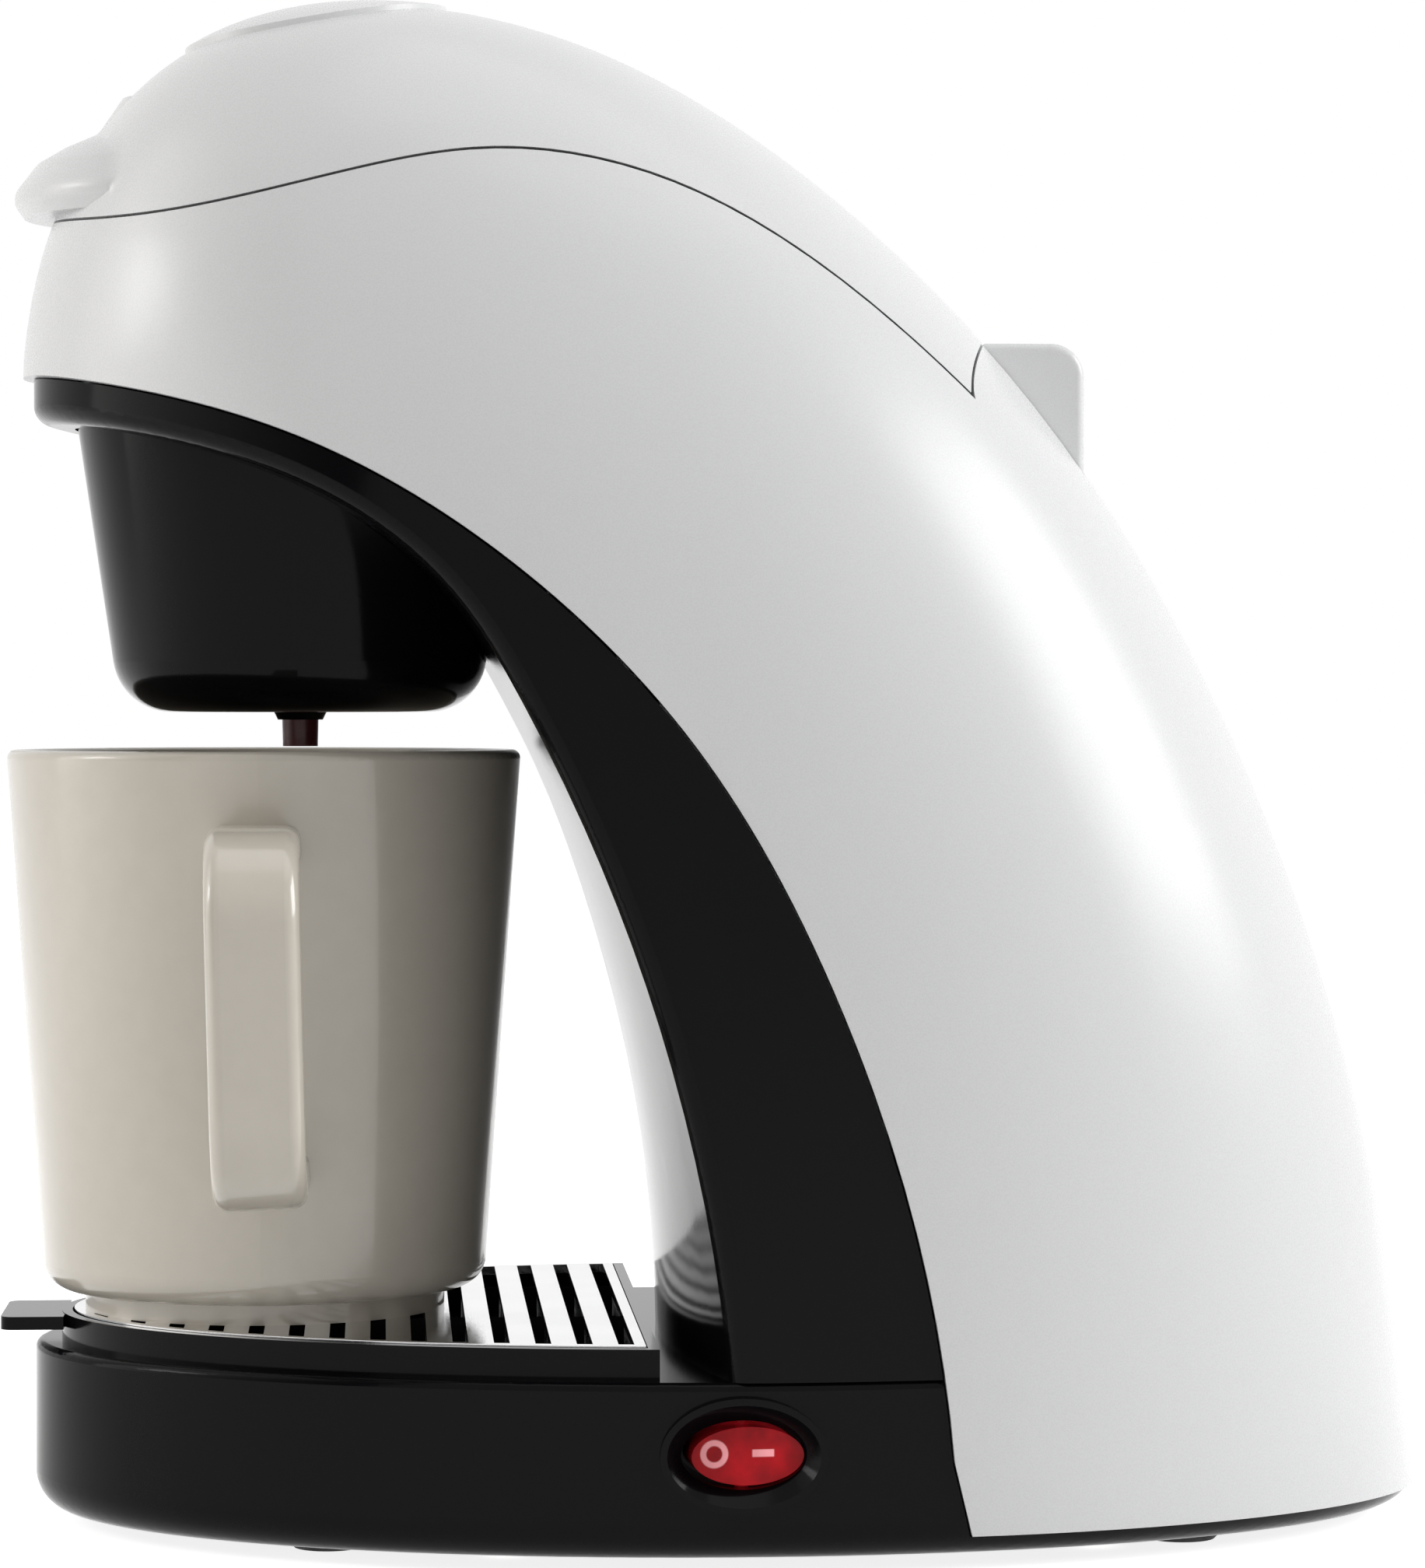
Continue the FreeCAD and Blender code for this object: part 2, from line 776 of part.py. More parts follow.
def base_housing():
    block = oval("base_block", "0", "foot_height", "base_top")
    soft = rounded("base_soft", block, "base_round", at_height("foot_height"))
    soft = rounded("base_soft_top", soft, "base_edge", at_height("base_top"))
    opening = oval("cover_opening", "cover_inset", "0", COVER_TOP)
    inside = oval("ledge_opening", "cover_inset + ledge_width", "0", CAVITY_FOOT)
    cavity = oval("base_cavity", "wall", CAVITY_FOOT, "base_top - deck_thickness")
    bosses = [cylinder("boss_%d" % index, "boss_radius", "%d * screw_front_x" % side, "screw_front_y",
                       COVER_TOP, "base_top - deck_thickness / 2")
              for index, side in enumerate(SIDES)]
    pilots = [cylinder("pilot_%d" % index, "screw_radius + fit", "%d * screw_front_x" % side,
                       "screw_front_y", "0", "base_top - 2 * deck_thickness")
              for index, side in enumerate(SIDES)]
    hole = flank_oval("switch_hole", "neck_half_length + fit", "neck_half_height + fit",
                      "half_width - 2 * neck_depth", "half_width + wall")
    tub = without("base_tub", soft, opening, inside, cavity, hatch_space(), white_foot_space())
    whole = joined("base_whole", tub, base_lip(), *bosses)
    return without("base_housing", whole, hole, *pilots)


def hatch_space():
    """Where the deck is open: a hatch under the column and everything behind it."""
    tall = oval("hatch_oval", "wall", CAVITY_FOOT, "base_top + wall")
    hatch = box("hatch", "-hatch_half_width", "hatch_half_width", "hatch_front_y", "half_length",
                CAVITY_FOOT, "base_top + wall")
    rear = box("hatch_rear", "-half_width", "half_width", "deck_rear_y", "half_length", CAVITY_FOOT,
               "base_top + wall")
    return shared("hatch_opening", tall, joined("hatch_boxes", hatch, rear))


def white_foot_space():
    """Where the foot of the white shell stands on the base."""
    block = box("foot_block", "-half_width - seam", "half_width + seam", "0", "half_length + seam",
                "shell_foot - seam", "base_top + wall")
    core = oval("foot_core", "wall + seam", "0", "base_top + 2 * wall")
    return without("white_foot_space", block, core, black_side)


def base_lip():
    """A low wall inside the foot of the white shell that keeps it in place."""
    outer = oval("lip_outer", "wall + seam", COVER_TOP, "shell_foot + lip_height")
    inner = oval("lip_inner", "2 * wall + seam", "0", "shell_foot + 2 * lip_height")
    rear = box("lip_rear", "-half_width", "half_width", "lip_front_y", "half_length", "0",
               "shell_foot + lip_height")
    return shared("base_lip", without("lip_ring", outer, inner), rear)


def bottom_cover():
    plate = oval("cover_plate", "cover_inset + seam", "foot_height", COVER_TOP)
    posts = [cylinder("post_%d" % index, "post_radius", "%d * post_x" % side, "strap_y", "foot_height",
                      "post_top")
             for index, side in enumerate(SIDES)]
    cradles = [box("cradle_%d" % index, "%d * inlet_x - element_radius" % side,
                   "%d * inlet_x + element_radius" % side, "cradle_y", "cradle_y + cradle_thickness",
                   "foot_height", "heater_z - tube_radius - 2 * element_radius - 2 * fit")
               for index, side in enumerate(SIDES)]
    whole = joined("cover_with_posts", plate, *posts, *cradles)
    return without("bottom_cover", whole, *cover_holes(), *cover_vents())


def cover_holes():
    holes = []
    for index, (side, end) in enumerate((side, end) for end in ENDS for side in SIDES):
        x = "%d * screw_%s_x" % (side, end)
        y = "screw_%s_y" % end
        holes.append(cylinder("cover_hole_%d" % index, "screw_radius + seam", x, y, "0", "post_top"))
        holes.append(cylinder("cover_seat_%d" % index, "screw_head_radius + seam", x, y, "0",
                              "foot_height + screw_head_height / 2"))
        holes.append(cylinder("foot_seat_%d" % index, "foot_radius + fit", "%d * foot_x" % side,
                              "foot_%s_y" % end, "0", "foot_height + foot_recess"))
    for index, side in enumerate(SIDES):
        holes.append(cylinder("post_hole_%d" % index, "screw_radius + fit", "%d * post_x" % side, "strap_y",
                              COVER_TOP, "post_top + wall"))
    return holes


def cover_vents():
    vents = []
    for index in range(int(size("vent_count"))):
        middle = "vent_y + (%d - (vent_count - 1) / 2) * vent_pitch" % index
        vents.append(box("vent_%d" % index, "-vent_length / 2", "vent_length / 2",
                         middle + " - vent_width / 2", middle + " + vent_width / 2", "0", "post_top"))
    return vents


def screw(name, seat, length, direction):
    """A pan-head screw with its head against the seat; direction 1 points up, -1 down."""
    tip = "%s + %d * %s" % (seat, direction, length)
    top = "%s - %d * screw_head_height" % (seat, direction)
    return turned(name, [("0", tip), ("screw_radius / 2", tip),
                         ("screw_radius", "%s - %d * screw_radius" % (tip, direction)),
                         ("screw_radius", seat), ("screw_head_radius", seat),
                         ("screw_head_radius", "%s + %d * screw_head_height / 2" % (top, direction)),
                         ("screw_head_radius / 2", top), ("0", top)])


def bottom_screws():
    single = screw("bottom_screw", "foot_height + screw_head_height / 2", "screw_length", 1)
    spots = [Vector(side * size("screw_%s_x" % end), size("screw_%s_y" % end), 0)
             for end in ENDS for side in SIDES]
    return gathered("bottom_screws", single, spots)


def rubber_feet():
    single = turned("rubber_foot", [("0", "0"), ("foot_radius - foot_round", "0"),
                                    ("foot_radius", "foot_round"),
                                    ("foot_radius", "foot_height + foot_recess"),
                                    ("0", "foot_height + foot_recess")])
    spots = [Vector(side * size("foot_x"), size("foot_%s_y" % end), 0) for end in ENDS for side in SIDES]
    return gathered("rubber_feet", single, spots)


# White shell

def outer_shell():
    skin = without("shell_skin", joined("shell_whole", body_skin, deck_shelf(), *shell_bosses()), under_lid)
    whole = joined("shell_with_rim", skin, *shell_rim())
    pilots = [cylinder("shell_pilot_%d" % index, "screw_radius + fit", "%d * screw_rear_x" % side,
                       "screw_rear_y", "0", "boss_top - wall")
              for index, side in enumerate(SIDES)]
    window = box("block_window", "-block_half_width - seam", "block_half_width + seam", "block_front_y - fit",
                 "block_rear_y + fit", "block_foot_z - fit", "block_top_z + wall")
    gland = back_cylinder("gland_hole", "gland_radius + fit", "half_length - 2 * gland_depth",
                          "half_length + gland_depth")
    slot = box("rim_slot", "-arm_half_width - seam", "arm_half_width + seam", "hinge_y - arm_reach",
               "block_front_y", "hinge_z", "hinge_z + arm_reach + seam")
    return without("outer_shell", whole, white_side, window, slot, gland, *pilots)


def shell_rim():
    """A thickened edge under the parting line and a thin rim that stands up inside the lid."""
    low = without("rim_low_band", feature("rim_low_space", lid_space(-size("rim_drop"))), under_lid)
    high = without("rim_high_band", feature("rim_high_space", lid_space(-size("rim_drop / 2"))),
                   feature("rim_top_space", lid_space(size("rim_rise"))))
    thick = shared("rim_thick", without("rim_full_ring", body_form, lining_inside), low)
    thin = shared("rim_thin", without("rim_ring", lining, lining_inside), high)
    return thick, thin


def deck_shelf():
    """A ledge round the inside of the head that carries the deck."""
    inner = feature("shelf_inner", white_form(size("wall + shelf_width")))
    level = box("shelf_level", "-half_width", "half_width", "-half_length - wall", "tank_high_y - seam",
                "deck_z - shelf_thickness", "deck_z")
    return shared("deck_shelf", without("shelf_ring", body_form, inner), level)


def shell_bosses():
    """Two screw bosses at the back, each held to the wall by a rib."""
    bosses = []
    for index, side in enumerate(SIDES):
        inner = "%d * screw_rear_x" % side
        outer = "%d * half_width" % side
        ends = (inner, outer) if side > 0 else (outer, inner)
        rib = box("shell_rib_%d" % index, *ends, "screw_rear_y - rib_thickness / 2",
                  "screw_rear_y + rib_thickness / 2", "rib_foot", "boss_top")
        bosses.append(shared("shell_rib_trimmed_%d" % index, rib, body_form))
        bosses.append(cylinder("shell_boss_%d" % index, "boss_radius", inner, "screw_rear_y", COVER_TOP,
                               "boss_top"))
    return bosses


# Black frame: the column and the trim round the underside of the head

def front_frame():
    column = oval("column_block", "0", "base_top", "arch_front_z")
    outside = shared("frame_outside", column, black_side)
    room = oval("frame_room", "wall", "base_top - wall", "arch_front_z + wall")
    inside = without("frame_inside", room, bay_roof)
    cut = without("frame_with_bay", outside, bay)
    soft = rounded("frame_soft", cut, "column_edge", is_bay_edge)
    return without("front_frame", soft, inside, bowl_room())


def is_bay_edge(edge):
    """The edge that runs from foot to foot round the bay, where its face meets the flanks."""
    span = edge.BoundBox
    return span.ZLength > CLOSE and abs(span.ZMax - size("soffit_front_z")) < size("wall")


def bowl_room():
    return turned("bowl_room", [("0", "bowl_floor_z"), ("bowl_floor_radius + bowl_gap", "bowl_floor_z"),
                                ("bowl_neck_radius + bowl_gap", "bowl_neck_z"),
                                ("bowl_neck_radius + bowl_gap", "deck_z"), ("0", "deck_z")], "bowl_y")


# Hinge: a block with two cheeks, the lid's arm between them, and a pin put in from the far side

def hinge_block():
    solid = box("block_solid", "-block_half_width", "block_half_width", "block_front_y", "block_rear_y",
                "block_foot_z", "block_top_z")
    soft = rounded("block_soft", solid, "block_round", is_top_rear)
    smooth = rounded("block_smooth", soft, "block_edge", is_cheek_rim)
    inner = feature("block_inner", white_form(size("2 * wall")))
    slot = box("arm_slot", "-arm_half_width - seam", "arm_half_width + seam", "block_front_y - wall",
               "block_rear_y + wall", "hinge_z - arm_radius - seam", "block_top_z + wall")
    bore = cross_cylinder("block_bore", "pin_radius + fit", "-half_width", "block_half_width - wall + fit",
                          "hinge_y", "hinge_z")
    return without("hinge_block", smooth, inner, slot, bore, under_lid)


def is_top_rear(edge):
    span = edge.BoundBox
    wide = span.XLength > size("block_half_width")
    return wide and abs(span.YMin - size("block_rear_y")) < CLOSE and span.ZMin > size("hinge_z")


def is_cheek_rim(edge):
    """The rear and top edges of both cheeks."""
    span = edge.BoundBox
    flat = span.XLength < CLOSE
    return flat and (span.YMin > size("hinge_y") or span.ZMin > size("block_top_z - block_round"))


def hinge_pin():
    return cross_cylinder("hinge_pin", "pin_radius", "-block_half_width", "block_half_width - wall",
                          "hinge_y", "hinge_z")


# Lid with its liner and shower head

def lid_cover():
    skin = shared("lid_skin", body_skin, above_lid)
    bore = cross_cylinder("arm_bore", "pin_radius + fit", "-half_width", "half_width", "hinge_y", "hinge_z")
    return without("lid_cover", joined("lid_whole", skin, beak(), crown_pad(), lid_arm()), bore)


def beak():
    """The thumb rest at the front: a turned nose that runs back into the lid."""
    outline = [("0", "beak_under_z"), ("beak_plan_radius - beak_nose / 2", "beak_under_z"),
               ("beak_plan_radius", "beak_tip_z"), ("beak_plan_radius - beak_nose", "beak_nose_z"),
               ("beak_plan_radius - beak_top", "beak_top_z"),
               ("beak_plan_radius - beak_neck", "beak_neck_z"),
               ("beak_plan_radius - beak_root", "beak_root_z"), ("0", "beak_root_z")]
    nose = turned("beak_nose_form", outline, "beak_tip_y + beak_plan_radius")
    soft = rounded("beak_soft_form", nose, "beak_soft", is_beak_edge)
    return without("beak", soft, body_hollow)


def is_beak_edge(edge):
    """The rings of the beak between its underside and its root."""
    span = edge.BoundBox
    ring = span.ZLength < CLOSE and span.XLength > CLOSE
    return ring and size("beak_under_z") + CLOSE < span.ZMin < size("beak_root_z") - CLOSE


def crown_pad():
    """A low oval pad on top of the lid."""
    outline = doc.addObject("Part::Ellipse", "pad_outline")
    turn(outline, UPRIGHT, 90)
    bind(outline, {"MajorRadius": "pad_half_length", "MinorRadius": "pad_half_width"})
    place(outline, y="pad_y", z="pad_foot_z")
    prism = extruded("pad_prism", outline, UPRIGHT, "crown_z")
    raised = feature("pad_raised", white_form(-size("pad_rise")))
    return without("crown_pad", shared("pad_block", raised, prism), body_hollow)


def lid_arm():
    """A knuckle on the pin and a web that carries it to the underside of the lid."""
    web = padded("arm_web", "YZ_Plane",
                 [("hinge_y", "hinge_z - arm_radius"), ("hinge_y", "hinge_z + arm_radius"),
                  ("hinge_y - arm_reach / 2", "hinge_z + arm_reach"),
                  ("hinge_y - arm_reach", "hinge_z + arm_reach / 2")], "2 * arm_half_width")
    knuckle = cross_cylinder("arm_knuckle", "arm_radius", "-arm_half_width", "arm_half_width", "hinge_y",
                             "hinge_z")
    return joined("lid_arm", shared("arm_trimmed", web, body_form), knuckle)


def lid_liner():
    above_rim = feature("above_rim", lid_space(size("rim_rise + seam")))
    below = box("liner_below", "-half_width", "half_width", "-half_length", "deck_end_y", "deck_z",
                "liner_z")
    plate = box("liner_slab", "-half_width", "half_width", "-half_length", "deck_end_y", "liner_z",
                "liner_z + liner_thickness")
    top = shared("liner_top", lining, plate)
    skirt = shared("liner_skirt", without("liner_ring", lining, lining_inside), below, above_rim)
    hole = cylinder("liner_hole", "shower_radius - shower_wall", "0", "bowl_y", "deck_z", "crown_z")
    return without("lid_liner", joined("liner_whole", top, skirt), hole)


def shower_head():
    """A cup with a ring of drip holes and a trough that reaches back over the spout."""
    cup = turned("shower_cup", [("0", "shower_floor_z"), ("shower_radius", "shower_floor_z"),
                                ("shower_radius", "liner_z"), ("shower_radius - shower_wall", "liner_z"),
                                ("shower_radius - shower_wall", "shower_floor_z + shower_wall"),
                                ("0", "shower_floor_z + shower_wall")], "bowl_y")
    half = "spout_flange_radius + seam + shower_wall"
    outer = box("trough_outer", "-(%s)" % half, half, "bowl_y + shower_radius - 2 * shower_wall",
                "riser_high_y + %s" % half, "shower_floor_z", "liner_z")
    inner = box("trough_inner", "shower_wall - (%s)" % half, "%s - shower_wall" % half, "bowl_y",
                "riser_high_y + %s - shower_wall" % half, "shower_floor_z + shower_wall", "liner_z")
    mouth = cylinder("trough_mouth", "spout_radius + shower_wall", "0", "riser_high_y", "deck_z",
                     "liner_z - shower_wall")
    whole = without("shower_whole", joined("shower_form", cup, outer), inner, mouth)
    return without("shower_head", whole, *shower_holes())


def shower_holes():
    holes = []
    count = int(size("shower_ring_holes"))
    for index in range(count):
        turn_angle = "%d * 360 / shower_ring_holes" % index
        holes.append(cylinder("shower_hole_%d" % index, "shower_hole_radius",
                              "shower_ring_radius * cos(%s)" % turn_angle,
                              "bowl_y + shower_ring_radius * sin(%s)" % turn_angle, "deck_z", "liner_z"))
    return holes


# Deck under the lid

def top_deck():
    level = box("deck_level", "-half_width", "half_width", "-half_length", "deck_end_y", "deck_z",
                "deck_z + deck_plate")
    bowl_hole = cylinder("deck_bowl_hole", "bowl_neck_radius + seam", "0", "bowl_y", "0", "crown_z")
    spout_hole = cylinder("deck_spout_hole", "spout_radius + seam", "0", "riser_high_y", "0", "crown_z")
    mouth = box("fill_mouth", "-mouth_half_width", "mouth_half_width", "tank_high_y + 2 * tank_wall",
                "deck_end_y - 2 * tank_wall", "0", "crown_z")
    return without("top_deck", shared("deck_sheet", lining, level), bowl_hole, spout_hole, mouth)


# Brew bowl, outlet nozzle and filter basket

def brew_funnel():
    rim = "deck_z + deck_plate"
    form = turned("funnel_form", [("nozzle_radius + fit", "bowl_floor_z - outlet_drop"),
                                  ("outlet_radius - outlet_drop / 2", "bowl_floor_z - outlet_drop"),
                                  ("outlet_radius", "bowl_floor_z"), ("bowl_floor_radius", "bowl_floor_z"),
                                  ("bowl_neck_radius", "bowl_neck_z"), ("bowl_neck_radius", rim),
                                  ("bowl_rim_radius", rim),
                                  ("bowl_rim_radius", rim + " + bowl_rim_thickness"),
                                  ("bowl_neck_radius - bowl_wall", rim + " + bowl_rim_thickness"),
                                  ("bowl_neck_radius - bowl_wall", "bowl_neck_z"),
                                  ("bowl_floor_radius - bowl_wall", "bowl_floor_z + bowl_wall"),
                                  ("nozzle_radius + fit", "bowl_floor_z + bowl_wall")], "bowl_y")
    soft = rounded("funnel_soft", form, "bowl_round", is_ring("bowl_floor_radius", "bowl_floor_z"))
    return rounded("brew_funnel", soft, "bowl_round - bowl_wall",
                   is_ring("bowl_floor_radius - bowl_wall", "bowl_floor_z + bowl_wall"))


def is_ring(radius, height):
    """A test for the circular edge of one radius at one height."""
    wide = 2 * size(radius)
    level = at_height(height)
    return lambda edge: level(edge) and abs(edge.BoundBox.XLength - wide) < CLOSE


def drip_nozzle():
    seat = "bowl_floor_z + bowl_wall"
    return turned("drip_nozzle", [("nozzle_bore", "nozzle_tip_z"),
                                  ("nozzle_radius - nozzle_taper", "nozzle_tip_z"),
                                  ("nozzle_radius", "bowl_floor_z - outlet_drop"), ("nozzle_radius", seat),
                                  ("nozzle_flange", seat), ("nozzle_flange", seat + " + nozzle_lip"),
                                  ("nozzle_bore", seat + " + nozzle_lip")], "bowl_y")


def filter_cone(name, inset, low, high):
    """A cone on the basket's taper, drawn in by the inset, between two heights."""
    slope = "(filter_top_radius - filter_floor_radius) / (%s - filter_floor_z)" % FILTER_SEAT
    radius = "filter_floor_radius + ((%s) - filter_floor_z) * " + slope + " - (%s)"
    corners = [("0", low), (radius % (low, inset), low), (radius % (high, inset), high), ("0", high)]
    return turned(name, corners, "bowl_y")


def filter_frame():
    outer = filter_cone("basket_outer", "0", "filter_floor_z", FILTER_RIM)
    rim = cylinder("basket_rim", "filter_rim_radius", "0", "bowl_y", FILTER_SEAT, FILTER_RIM)
    tabs = [box("basket_tab_%d" % index, *tab_span(side), "bowl_y - tab_width / 2",
                "bowl_y + tab_width / 2", FILTER_SEAT, FILTER_RIM + " + tab_height")
            for index, side in enumerate(SIDES)]
    inner = filter_cone("basket_inner", "filter_wall", "filter_floor_z + filter_wall",
                        FILTER_RIM + " + wall")
    windows = [filter_window(index) for index in range(int(size("filter_windows")))]
    drain = cylinder("basket_drain", "filter_floor_radius - filter_rib", "0", "bowl_y", "0",
                     "filter_floor_z + wall")
    whole = joined("basket_whole", outer, rim, *tabs)
    return without("filter_frame", whole, inner, drain, *windows)


def tab_span(side):
    near = "filter_rim_radius - 2 * filter_wall"
    far = "filter_rim_radius - filter_wall / 2"
    return (near, far) if side > 0 else ("-(%s)" % far, "-(%s)" % near)


def filter_window(index):
    """One opening between two ribs of the basket, cut outwards from the axis."""
    low = "filter_floor_z + filter_band"
    high = FILTER_SEAT + " - filter_band"
    wide = "2 * filter_floor_radius * sin(180 / filter_windows) - filter_rib"
    window = doc.addObject("Part::Box", "basket_window_%d" % index)
    bind(window, {"Length": "bowl_neck_radius", "Width": wide, "Height": "(%s) - (%s)" % (high, low)})
    angle = 2 * math.pi * (index + 0.5) / size("filter_windows")
    window.Placement.Rotation = FreeCAD.Rotation(UPRIGHT, math.degrees(angle))
    share = "%d * 360 / filter_windows + 180 / filter_windows" % index
    return place(window, "(%s) / 2 * sin(%s)" % (wide, share),
                 "bowl_y - (%s) / 2 * cos(%s)" % (wide, share), low)


def filter_mesh():
    """The fine sieve that lines the basket."""
    low = "filter_floor_z + filter_wall + fit"
    high = FILTER_SEAT + " - filter_wall"
    outer = filter_cone("sieve_outer", "filter_wall + fit", low, high)
    inner = filter_cone("sieve_inner", "filter_wall + fit + mesh_wall", low + " + mesh_wall",
                        high + " + wall")
    return without("filter_mesh", outer, inner)


# Water tank behind the bowl

def tank_outline(inset):
    """Side view of the tank, drawn in by the inset."""
    deep = size(inset)
    floor = size("tank_floor_z") + deep
    roof = size("tank_roof_z") - deep
    back = size("half_length")
    return [Vector(0, size("tank_low_y") + deep, floor),
            Vector(0, size("tank_mid_y") + deep, size("tank_mid_z")),
            Vector(0, size("tank_high_y") + deep, size("tank_high_z")),
            Vector(0, size("tank_high_y") + deep, size("deck_z") + deep),
            Vector(0, size("deck_end_y") - deep, size("deck_z") + deep),
            Vector(0, size("tank_roof_y") - deep, roof), Vector(0, back, roof), Vector(0, back, floor)]


def tank_form(inset):
    points = tank_outline(inset)
    side = side_slab(chain(points + points[:1]))
    return white_form(size("wall + tank_clearance + (%s)" % inset)).common(side)


def water_tank():
    outer = feature("tank_outer", tank_form("0"))
    inner = feature("tank_inner", tank_form("tank_wall"))
    spigot = cylinder("tank_spigot", "tube_radius", "inlet_x", "inlet_y", SPIGOT_FOOT,
                      "tank_floor_z + tank_wall")
    bore = cylinder("tank_bore", "tube_bore", "inlet_x", "inlet_y", "0", "tank_floor_z + 2 * tank_wall")
    return without("water_tank", joined("tank_whole", outer, spigot), inner, bore)


# Water way: tank, inlet hose with check valve, boiler tube, outlet hose, riser, spout

def point(x, y, z):
    return Vector(size(x), size(y), size(z))


def heater_path(side, height):
    """The U that the boiler tube and the heating rod below it share."""
    return [point("inlet_x", side, height), point("inlet_x", "heater_bend_y", height),
            point("-inlet_x", "heater_bend_y", height), point("-inlet_x", side, height)]


def hose(name, points):
    return feature(name, pipe(points, size("hose_bend"), size(HOSE_RADIUS), size("tube_radius + fit")))


def inlet_hose():
    return hose("inlet_hose", [point("inlet_x", "inlet_y", "tank_floor_z - fit"),
                               point("inlet_x", "inlet_y", "heater_z"),
                               point("inlet_x", HOSE_END, "heater_z")])


def outlet_hose():
    return hose("outlet_hose", [point("-inlet_x", HOSE_END, "heater_z"), point("-inlet_x", "0", "heater_z"),
                                point("0", "0", "heater_z"),
                                point("0", "0", "riser_foot_z + hose_overlap")])


def check_valve():
    """A plug in the inlet hose with a seat and a ball cage."""
    top = "valve_z + valve_height"
    return without("check_valve",
                   cylinder("valve_plug", "tube_radius", "inlet_x", "inlet_y", "valve_z", top),
                   cylinder("valve_bore", "valve_bore", "inlet_x", "inlet_y", "valve_z - fit",
                            top + " + fit"),
                   cylinder("valve_cage", "tube_bore", "inlet_x", "inlet_y", "valve_z + tube_bore",
                            top + " - tube_bore"))


def boiler_tube():
    return feature("boiler_tube", pipe(heater_path("heater_front_y", "heater_z"), size("heater_bend"),
                                       size("tube_radius"), size("tube_bore")))


def heating_element():
    """A bent heating rod under the tube, with a thin lead at each end."""
    level = "heater_z - tube_radius - element_radius - fit"
    start = HOSE_END + " + hose_wall"
    bar = rod(heater_path(start, level), size("heater_bend"), size("element_radius"))
    leads = [Part.makeCylinder(size("lead_radius"), size("element_lead"),
                               point("%d * inlet_x" % side, start, level), -LENGTHWAYS)
             for side in SIDES]
    return feature("heating_element", bar.fuse(leads))


def riser_tube():
    return feature("riser_tube", pipe([point("0", "0", "riser_foot_z"), point("0", "0", "riser_low_z"),
                                       point("0", "riser_mid_y", "tank_mid_z"),
                                       point("0", "riser_high_y", "tank_high_z"),
                                       point("0", "riser_high_y", "deck_z - fit")],
                                      size("riser_bend"), size("tube_radius"), size("tube_bore")))


def riser_spout():
    """A stepped nozzle that stands in the deck on the end of the riser."""
    deck = "deck_z + deck_plate"
    return turned("riser_spout", [("spout_bore", "deck_z"), ("spout_radius", "deck_z"),
                                  ("spout_radius", deck), ("spout_flange_radius", deck),
                                  ("spout_flange_radius", deck + " + wall / 2"),
                                  ("spout_radius", deck + " + wall / 2"),
                                  ("spout_radius - spout_taper", "spout_top_z"),
                                  ("spout_bore", "spout_top_z")], "riser_high_y")


def hose_clamps():
    """Spring bands round the four hose ends."""
    radius = size(HOSE_RADIUS + " + fit")
    width = size("clamp_width")
    thick = size("clamp_thickness")
    band = Part.makeCylinder(radius + thick, width)
    ear = Part.makeBox(2 * width, width / 2, width, Vector(-width, radius, 0))
    ring = band.fuse(ear).cut(Part.makeCylinder(radius, width))
    level = size("heater_z")
    seats = [(point("inlet_x", "inlet_y", SPIGOT_FOOT + " + clamp_width"), UPRIGHT),
             (point("0", "0", "riser_foot_z"), UPRIGHT),
             (Vector(size("inlet_x"), size("heater_front_y"), level), LENGTHWAYS),
             (Vector(-size("inlet_x"), size("heater_front_y"), level), LENGTHWAYS)]
    copies = []
    for seat, axis in seats:
        copy = ring.copy()
        copy.Placement = FreeCAD.Placement(seat, FreeCAD.Rotation(UPRIGHT, axis))
        copies.append(copy)
    return feature("hose_clamps", Part.makeCompound(copies))


# What holds and guards the heater

def heater_strap():
    """A bent sheet-metal hat over both legs of the tube, with a foot on each post."""
    wall_x = "inlet_x + tube_radius + seam"
    corners = [("post_x + strap_foot / 2", "post_top"),
               ("post_x + strap_foot / 2", "post_top + strap_thickness"),
               (wall_x + " + strap_thickness", "post_top + strap_thickness"),
               (wall_x + " + strap_thickness", STRAP_TOP + " + strap_thickness")]
    inner = [(wall_x, STRAP_TOP), (wall_x, "post_top")]
    mirrored = [("-(%s)" % across, along) for across, along in corners]
    inner_mirrored = [("-(%s)" % across, along) for across, along in inner]
    outline = corners + mirrored[::-1] + inner_mirrored[::-1] + inner
    sheet_metal = padded("strap_sheet", "XZ_Plane", outline, "strap_width")
    place(sheet_metal, y="strap_y")
    holes = [cylinder("strap_hole_%d" % index, "screw_radius + seam", "%d * post_x" % side, "strap_y", "0",
                      STRAP_TOP)
             for index, side in enumerate(SIDES)]
    return without("heater_strap", sheet_metal, *holes)


def heater_screws():
    single = screw("heater_screw", "post_top + strap_thickness", "heater_screw_length", -1)
    spots = [Vector(side * size("post_x"), size("strap_y"), 0) for side in SIDES]
    return gathered("heater_screws", single, spots)


